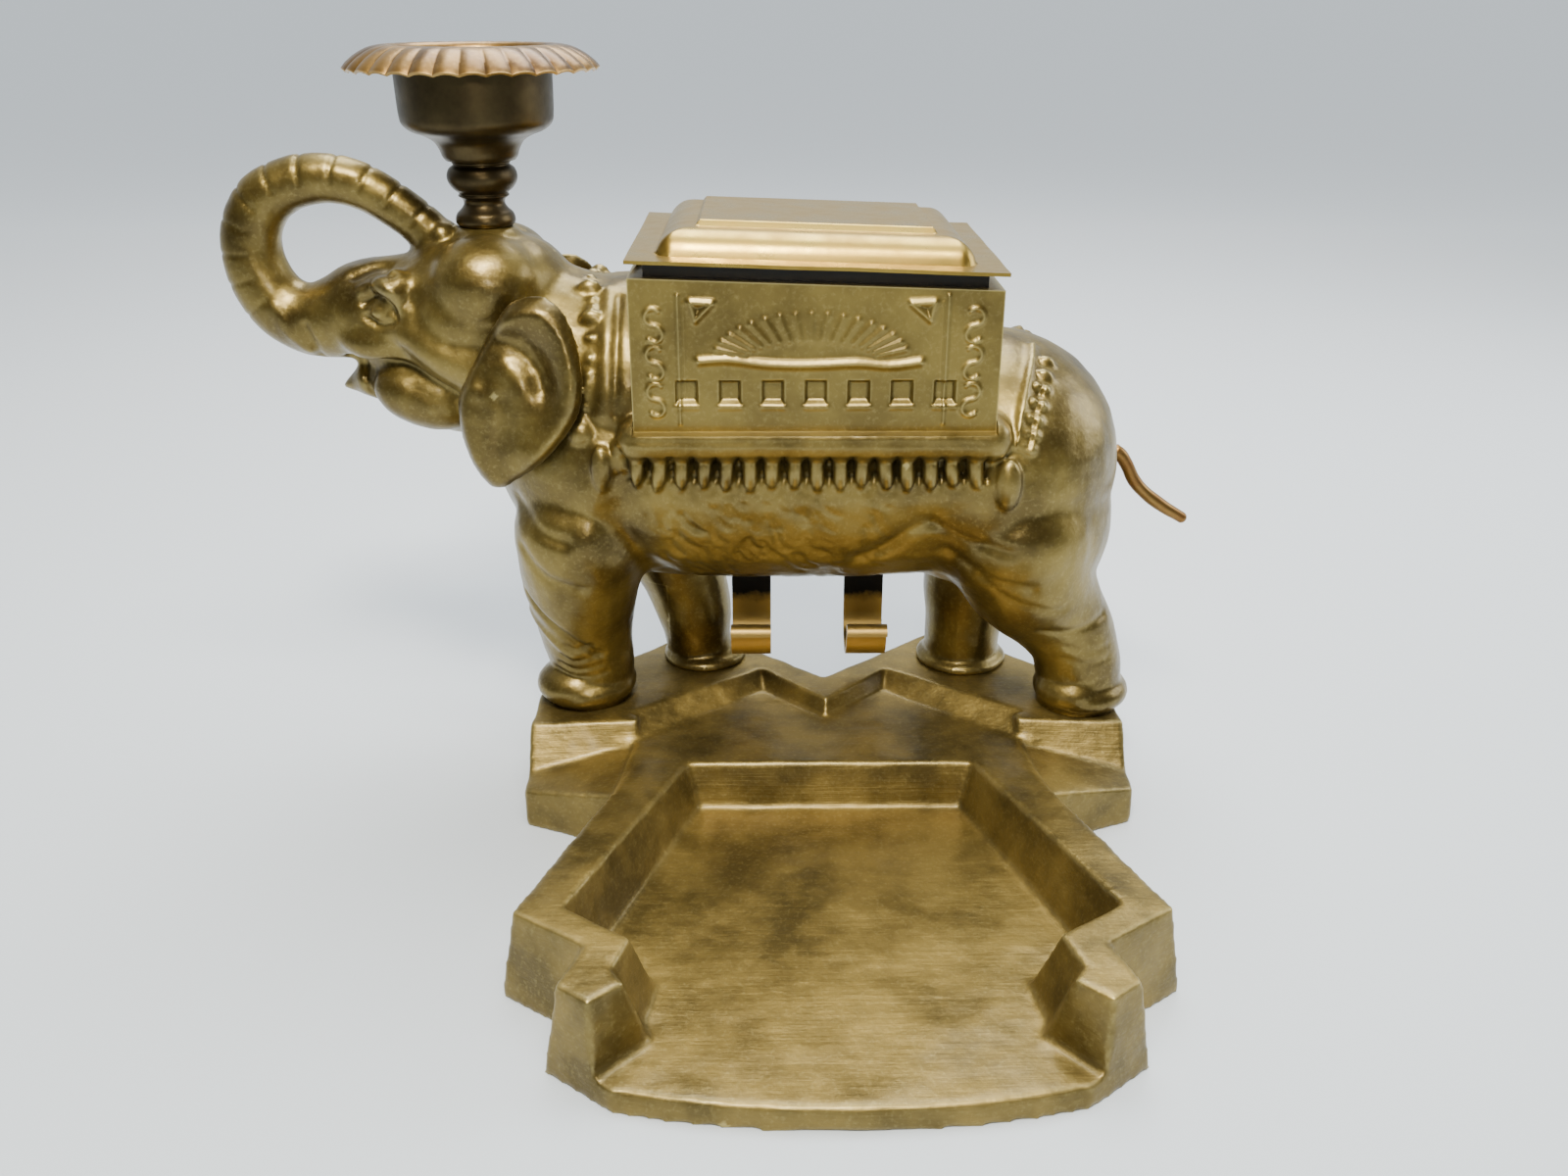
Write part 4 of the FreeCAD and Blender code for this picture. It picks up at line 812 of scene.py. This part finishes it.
# -------------------- howdah box
def scroll(x, z, radius, flip):
    """S-shaped scroll with curled ends as a list of (x, z) points."""
    upper = []
    for t in np.linspace(0, 1, 14):
        angle = radians(-90 - 225 * t)
        r = radius * (1 - 0.22 * t)
        upper.append((flip * r * cos(angle), radius + r * sin(angle)))
    return [(x - px, z - pz) for px, pz in reversed(upper)] + [(x + px, z + pz) for px, pz in upper]


def panel_relief(px, pz):
    """Raised ornament of a long side of the box; px runs from the left edge, pz up from the foot."""
    lines = [([(x, 2), (x, 29.4)], 0.38, 0.42) for x in (10.3, 66.9)]
    lines += [([(x, 8.5), (x, 28)], 0.3, 0.18) for x in (11.4, 65.8)]
    for column, flip in ((5.2, 1), (72.6, -1)):
        for z in (7.2, 15.2, 23.2):
            lines.append((scroll(column, z, 1.95, flip), 0.5, 0.5))
    lines.append(([(13, 28), (17.4, 27.8), (14, 24.4), (13, 28)], 0.8, 0.8))
    lines.append(([(64, 28), (59.2, 27.8), (63.2, 24.4), (64, 28)], 0.8, 0.8))
    lines.append((curve_through([(14.6, 15.6), (21, 15.9), (29, 14.9), (38.5, 14.7), (48, 15.1),
                                 (55, 14.6), (61.5, 15.4)], 4).tolist(), 0.9, 0.85))
    # the fan: 17 rays, fainter towards its middle
    for i in range(17):
        angle = radians(14 + i * 9.5)
        ray = [(38.3 - wide * cos(angle), 15.8 + high * sin(angle))
               for wide, high in ((14.5, 4.4), (20.5, 9.6))]
        lines.append((ray, 0.75, 0.42 - 0.16 * (1 - abs(i - 8) / 8)))
    out = np.zeros(px.shape)
    for line, width, height in lines:
        out = np.maximum(out, line_relief(px, pz, line, width, height))
    # sunk squares with a sloping lower side and a lip below
    z = 8.8
    for i in range(7):
        x = 11.8 + i * 9.2
        inside = np.minimum(np.minimum(2.5 - np.abs(px - x), z + 2.7 - pz), (pz - z + 2.7) / 1.5)
        out -= 1.15 * np.clip(inside / 0.7, 0, 1)
        out += line_relief(px, pz, [(x - 2.3, z - 3.3), (x + 2.3, z - 3.3)], 0.7, 0.3)
    return out


class DISPENSER_OT_box_sides(bpy.types.Operator):
    """Cast ornament on the two long sides of the howdah box"""
    bl_idname = "dispenser.box_sides"
    bl_label = "Box ornament"

    def execute(self, context):
        long, foot, side_y = sizes_mm("box_long"), sizes_mm("box_foot"), sizes_mm("box_deep") / 2
        walls = cad_twin("howdah_box", "box_look")
        inset = side_y - 1.3                          # the panels stand in front of the cut-back walls
        for low, high in ((10.0, MID - inset), (MID + inset, 90.0)):
            cut_with(walls, block((-60.0, low, 90.0), (60.0, high, 140.0)))
        hand_over(walls, "stand", "gilt_box", ("howdah_box",), 30)
        left, fade = BOX_X - long / 2, 0.6            # the relief dies away over fade
        for name, side in zip(("near_panel", "far_panel"), SIDES):
            panel, px, share = sheet(name, 280, 112)
            px = px * long
            top = BOX_TOP - (left + px - BOX_X) * tan(TILT) - foot
            rise = panel_relief(px if side < 0 else long - px, share * top)
            if side > 0:
                # plain where the hinge strip lies
                above = np.clip((share * top - 19) / fade, 0, 1)
                rise *= 1 - above * np.clip((35 - np.abs(px - long / 2)) / fade, 0, 1)
            edge = np.minimum(np.minimum(px, long - px), np.minimum(share, 1 - share) * top)
            rise = rise * np.clip(edge / fade, 0, 1)
            out = MID + side * (side_y + 1.0 + rise)
            set_points(panel, np.column_stack([left + px, out, foot + share * top]))
            if side > 0:
                only(panel)
                bpy.ops.object.mode_set(mode="EDIT")
                bpy.ops.mesh.select_all(action="SELECT")
                bpy.ops.mesh.flip_normals()
                bpy.ops.object.mode_set(mode="OBJECT")
            modify(panel, "SOLIDIFY", thickness=1.4, offset=-1.0)
            points = points_of(panel)
            points[:, 1] = MID + side * (np.abs(points[:, 1] - MID) - 1.0)
            set_points(panel, points)
            hand_over(panel, "stand", "gilt_box", (), 50)
        return {"FINISHED"}


# -------------------- lid
def lid_height(x, y):
    """Height of the pressed dome over the flange at a point from the lid's middle."""
    half_x, half_y, corner = 33.9, 27.0, 4.0
    qx, qy = np.abs(x) - (half_x - corner), np.abs(y) - (half_y - corner)
    dome = corner - np.hypot(np.maximum(qx, 0), np.maximum(qy, 0)) - np.minimum(np.maximum(qx, qy), 0)
    roll = np.clip(dome / 7.4, 0, 1)
    rise = np.clip((dome - 8.0) / 1.1, 0, 1)
    rounded = (1 - (1 - roll) ** 2.3) ** 0.62
    return sizes_mm("roll_high") * rounded + sizes_mm("panel_high") * rise * rise * (3 - 2 * rise)


class DISPENSER_OT_lid(bpy.types.Operator):
    """Pressed sheet lid with flange, domed roll and raised panel"""
    bl_idname = "dispenser.lid"
    bl_label = "Lid"

    def execute(self, context):
        long, deep = sizes_mm("lid_long"), sizes_mm("lid_deep")
        step = 0.45
        lid, along, across = sheet("lid_look", round(long / step), round(deep / step))
        x, y = (along - 0.5) * long, (across - 0.5) * deep
        wave = np.array([noise.noise((px / 17, py / 17, 3.0)) for px, py in zip(x.tolist(), y.tolist())])
        gap = np.minimum(long / 2 - np.abs(x), deep / 2 - np.abs(y))
        edge = np.clip(1 - gap / 5.5, 0, 1)           # the flange is wavy at its edge only
        z = 131.2 + lid_height(x, y) + 0.35 * wave * edge
        set_points(lid, tilt_points(np.column_stack([BOX_X + x, MID + y, z])))
        modify(lid, "SOLIDIFY", thickness=sizes_mm("lid_sheet"), offset=-1.0)
        parts = [lid]
        for x in (-24.2, 15.8):                       # hinge knuckles and the tongues that hold them
            drop = (x - BOX_X) * tan(TILT)
            parts.append(rod((x, 85.4, 129.4 - drop), 1.8, 9.0, 28, radians(90) + TILT))
            parts.append(block((x - 4.5, 81.5, 130.35 - drop), (x + 4.5, 85.5, 131.15 - drop)))
        lid = join("lid_look", parts)
        hand_over(lid, "lid", "gilt_lid", ("lid",), 35)
        return {"FINISHED"}


# -------------------- cup, stem and fluted rim
class DISPENSER_OT_cup(bpy.types.Operator):
    """Turned stem and cup"""
    bl_idname = "dispenser.cup"
    bl_label = "Cup and stem"

    def execute(self, context):
        middle = (CUP_X, MID, 0.0)
        seat, floor, lip = 148.6, 156.2, 168.4
        stem = [(6, CUP_FOOT), (6.5, 135.1), (6.6, 136), (6.2, 137.2), (5.2, 138.2), (4.55, 139.2),
                (4.7, 140.2), (5.6, 141), (5.4, 141.6), (6.6, 142.6), (7.5, 144), (7.7, 145.4), (7.2, 146.8),
                (6.2, 147.6), (6.4, 148.1), (6.2, seat)]
        stem_line = curve_through(stem, 4).tolist()
        piece = lathe("stem_look", [(0.0, CUP_FOOT)] + stem_line + [(0.0, seat)], middle)
        hand_over(piece, "stand", "gilt_brass", ("cup_stem",), 35)
        outer = curve_through([(7.6, seat), (8.2, 149.4), (8.7, 150.8), (9.8, 152.6), (12, 153.9),
                               (14.6, 154.9), (16.2, 156.4), (16.6, 158.4), (16.75, 162), (16.9, lip)],
                              5).tolist()
        inner = curve_through([(15.6, lip), (15.4, 160), (14.4, 156.9), (11, floor)], 4).tolist()
        cup = lathe("cup_look", [(0.0, seat)] + outer + inner + [(0.0, floor)], middle, 128)
        hand_over(cup, "stand", "gilt_brass", ("cup",), 35)
        return {"FINISHED"}


class DISPENSER_OT_fluted_rim(bpy.types.Operator):
    """Pressed rim with drooping flutes around the cup"""
    bl_idname = "dispenser.fluted_rim"
    bl_label = "Fluted rim"

    def execute(self, context):
        flutes, around = context.scene.dispenser_sizes.flutes, 384
        profile = curve_through([(15.7, 168), (15.9, 170.4), (16.9, 172), (18.8, 172.2), (21.4, 171.6),
                                 (24, 170.2), (26, 168.6), (27, 167.5)], 5)
        verts = []
        for radius, z in profile:
            depth = min(max((radius - 17.0) / 9.0, 0.0), 1.0)
            for i in range(around):
                angle = 2 * pi * i / around
                wave = depth * (abs(cos(angle * flutes / 2)) ** 0.8 * 2 - 1)
                r = radius + 0.22 * wave
                verts.append((CUP_X + r * cos(angle), MID + r * sin(angle),
                              z + sizes_mm("flute_deep") * wave))
        rim = outward(add_mesh("rim_look", verts, [], ring_faces(len(profile), around)))
        up = sum(p.normal.z * p.area for p in rim.data.polygons)
        modify(rim, "SOLIDIFY", thickness=0.6, offset=-1.0 if up > 0 else 1.0)
        hand_over(rim, "stand", "gilt_rim", ("fluted_rim",), 50)
        return {"FINISHED"}


# -------------------- tail
class DISPENSER_OT_tail(bpy.types.Operator):
    """Bent wire tail that turns the feed roller"""
    bl_idname = "dispenser.tail"
    bl_label = "Tail wire"

    def execute(self, context):
        radius = sizes_mm("wire_radius")
        bend = ((70.4, 80.7), (73, 77.6), (75.2, 73.6), (78.4, 70.1), (83, 66.7))
        stations = [(x, 81, 0.9 * radius) for x in (-46.6, 20, 66)] + [(x, z, radius) for x, z in bend]
        tail = middle_limb(stations + [(88.2, 63.6, 0.88 * radius)], steps=10, sides=6)
        tail.name = "tail_look"
        unevenness(tail, [(5.0, 0.12)])
        hand_over(tail, "roller", "gilt_wire", ("tail_crank",), 60)
        return {"FINISHED"}


# -------------------- finishes
# plain metals: name, tone, second tone, roughness, metallic, grain and its depth in millimetres
METALS = {
    # satin gilding on pressed sheet, smooth and even
    "gilt_lid": ("gilt sheet", "lid_gold", "lid_deep", 0.24, 0.95, 0.8, 0.012),
    # dull gilt brass of the cup and stem, stained brown
    "gilt_brass": ("gilt brass", "brass", "brass_deep", 0.32, 0.9, 0.8, 0.02),
    # gilt wire, slightly rough
    "gilt_wire": ("gilt wire", "wire", "#7a5630", 0.34, 0.95, 0.8, 0.03),
    # black japanned tin, a soft dark shine
    "black_tin": ("black japanned tin", "#15130f", "#221d16", 0.38, 0.3, 1.2, 0.01),
    # cast zinc, dull grey
    "zinc_roller": ("zinc", "#8f9294", "#6f7274", 0.45, 1.0, 0.6, 0.02),
    # turned brass, clean yellow
    "brass_bush": ("turned brass", "#b59a55", "#94793d", 0.3, 1.0, 0.5, 0.01),
    # steel screws, grey with brown stains
    "steel_screws": ("steel screws", "#6c6a66", "#4e4a44", 0.4, 1.0, 0.5, 0.02),
    # drawn steel wire, a little brighter
    "steel_wire": ("steel wire", "#86847f", "#5f5c56", 0.32, 1.0, 0.5, 0.01),
}
_made = {}


def materials():
    """Every finish, made once."""
    if _made:
        return _made
    hues = {name: tuple(getattr(bpy.context.scene.dispenser_colours, name))
            for name in DispenserColours.__annotations__}
    bright, dirt = hues["bright"], hues["dirt"]
    # bronze-powder gilding over rough cast iron, rubbed on the high places
    _made["gilt_iron"] = gilt_iron("gilt cast iron", hues["gold"], hues["deep_gold"], bright, dirt, 0.55)
    # the same gilding, laid on the base with level brush strokes
    _made["gilt_base"] = gilt_iron("gilt cast iron base", hues["base_gold"], hues["base_deep"], bright,
                                   colour("#54523c"), rough=(0.40, 0.54), strokes=(26.0, 2.0, 1.0))
    # flatter gilding on the sides of the box
    _made["gilt_box"] = gilt_iron("gilt box side", hues["box_gold"], hues["box_deep"], bright, dirt, 0.7,
                                  grain_depth=0.03)
    # coppery worn gilding on the pressed rim
    _made["gilt_rim"] = gilt_iron("gilt pressed rim", hues["rim_copper"], hues["rim_deep"],
                                  colour("#cdaa66"), colour("#4a2c16"), 0.6, (0.3, 0.42), 0.02)
    for key, (name, *tones, rough, metallic, grain_mm, depth) in METALS.items():
        tone, second = (hues[text] if text in hues else colour(text) for text in tones)
        _made[key] = plain_metal(name, tone, second, rough, metallic, grain_mm, depth)
    # blackened straps with gilt curled ends
    _made["black_strap"] = strap_metal("black strap", hues["strap_black"], hues["strap_gold"])
    return _made


# finish of the parts that are shown as they were packed
PART_FINISH = {
    "steel_screws": ("box_screws", "cradle_screws", "cup_screw", "body_screws", "foot_screws",
                     "foot_washers"),
    "steel_wire": ("lid_hinge_pin", "roller_pin"),
    "gilt_lid": ("hinge_strip",),
    "gilt_wire": ("hinge_rivets",),
    "black_tin": ("hopper_liner", "drop_guide"),
    "zinc_roller": ("feed_roller",),
    "brass_bush": ("front_bearing", "rear_bearing"),
    "black_strap": ("catch_cradle",),
}


class DISPENSER_OT_finishes(bpy.types.Operator):
    """Paint the parts that are shown as they were packed"""
    bl_idname = "dispenser.finishes"
    bl_label = "Finishes of carried parts"

    def execute(self, context):
        for finish, names in PART_FINISH.items():
            for name in names:
                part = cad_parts[name]
                part.data.materials.clear()
                part.data.materials.append(materials()[finish])
        return {"FINISHED"}


# -------------------- stage
def room_light():
    """Pale light from behind and above, falling away towards the front."""
    world = bpy.data.worlds.new("pale room")
    world.use_nodes = True
    tree = world.node_tree
    tree.nodes.clear()
    where = node(tree, "ShaderNodeTexCoord").outputs["Generated"]
    depth = node(tree, "ShaderNodeSeparateXYZ", links={"Vector": where}).outputs["Y"]
    spread = node(tree, "ShaderNodeMapRange", {"From Min": -0.35, "From Max": 0.45}, {"Value": depth})
    tone = mix(tree, spread.outputs["Result"], colour("#141516"), colour("#e6eef3"))
    light = node(tree, "ShaderNodeBackground", {"Strength": 0.9}, {"Color": tone})
    node(tree, "ShaderNodeOutputWorld", links={"Surface": light.outputs["Background"]})
    return world


class DISPENSER_OT_stage(bpy.types.Operator):
    """Pale floor with painted shade darkening it towards the front, soft lights and the camera"""
    bl_idname = "dispenser.stage"
    bl_label = "Stage"

    def execute(self, context):
        bpy.ops.mesh.primitive_plane_add(size=300.0)
        floor = bpy.context.active_object
        floor.name = "floor"
        material, tree, shader, where = new_material("pale floor", Roughness=0.85)
        depth = node(tree, "ShaderNodeSeparateXYZ", links={"Vector": where}).outputs["Y"]
        # painted shade: the floor's colour goes from the dark near tone to the pale far tone, in place of
        # shade in front
        far = node(tree, "ShaderNodeMapRange", {"From Min": -0.25, "From Max": 0.9}, {"Value": depth})
        hues = context.scene.dispenser_colours
        tree.links.new(mix(tree, far.outputs["Result"], tuple(hues.floor_painted_shade), tuple(hues.floor_far)),
                       shader.inputs["Base Color"])
        floor.data.materials.append(material)
        context.scene.world = room_light()
        target = Vector((-10, 10, 80)) * MM
        # name, place, width, height in millimetres, power and colour
        for name, place, wide, high, power, shade in (
                ("key", (-60, -330, 600), 120, 120, 5.2, "#fff8ec"),
                ("strip", (-4, -250, 640), 420, 50, 3.4, "#fffaf0"),
                ("flash", (0, -290, 235), 26, 26, 0.3, "#fffaf2"),
                ("right", (620, 160, 330), 360, 360, 2.2, "#f4f8ff"),
                ("top", (0, 330, 700), 460, 460, 6.0, "#ffffff")):
            lamp = bpy.data.lights.new(name, "AREA")
            lamp.shape = "RECTANGLE"
            lamp.size, lamp.size_y = wide * MM, high * MM
            lamp.energy = power
            lamp.color = colour(shade)[:3]
            obj = add(name, lamp)
            obj.location = Vector(place) * MM
            obj.rotation_euler = (target - obj.location).to_track_quat("-Z", "Y").to_euler()
        sky = bpy.data.lights.new("sky", "SUN")
        sky.energy = 1.6
        sky.angle = radians(60)
        sky.color = colour("#eef4fa")[:3]
        add("sky", sky).rotation_euler = (radians(-12), radians(8), 0)
        camera = bpy.data.cameras.new("camera")
        camera.sensor_width = 36.0
        camera.lens = 30.375
        camera.clip_start = 0.01
        holder = add("camera", camera)
        holder.location = Vector((-14.43, -255.66, 181.55)) * MM
        holder.rotation_euler = (radians(90 - 24.085), radians(-0.1), radians(-0.70))
        context.scene.camera = holder
        return {"FINISHED"}


STEPS = (DISPENSER_OT_elephant, DISPENSER_OT_base, DISPENSER_OT_box_sides, DISPENSER_OT_lid, DISPENSER_OT_cup,
         DISPENSER_OT_fluted_rim, DISPENSER_OT_tail, DISPENSER_OT_finishes, DISPENSER_OT_stage)


class DISPENSER_PT_panel(bpy.types.Panel):
    """Buttons for every piece"""
    bl_idname = "DISPENSER_PT_panel"
    bl_label = "Elephant dispenser"
    bl_space_type = "VIEW_3D"
    bl_region_type = "UI"
    bl_category = "Dispenser"

    def draw(self, context):
        scene = context.scene
        for group in (scene.dispenser_sizes, scene.dispenser_colours):
            for name in type(group).__annotations__:
                self.layout.prop(group, name)
        for step in STEPS:
            self.layout.operator(step.bl_idname)


CLASSES = (DispenserSizes, DispenserColours, *STEPS, DISPENSER_PT_panel)


def register():
    for item in CLASSES:
        bpy.utils.register_class(item)
    bpy.types.Scene.dispenser_sizes = bpy.props.PointerProperty(type=DispenserSizes)
    bpy.types.Scene.dispenser_colours = bpy.props.PointerProperty(type=DispenserColours)


def unregister():
    del bpy.types.Scene.dispenser_colours
    del bpy.types.Scene.dispenser_sizes
    for item in reversed(CLASSES):
        bpy.utils.unregister_class(item)


def main():
    """Register and make everything through the operators."""
    register()
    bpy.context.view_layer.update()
    for step in STEPS:
        group, name = step.bl_idname.split(".")
        result = getattr(getattr(bpy.ops, group), name)()
        if result != {"FINISHED"}:
            raise RuntimeError(f"{step.bl_idname} did not finish")


if __name__ == "__main__":
    main()
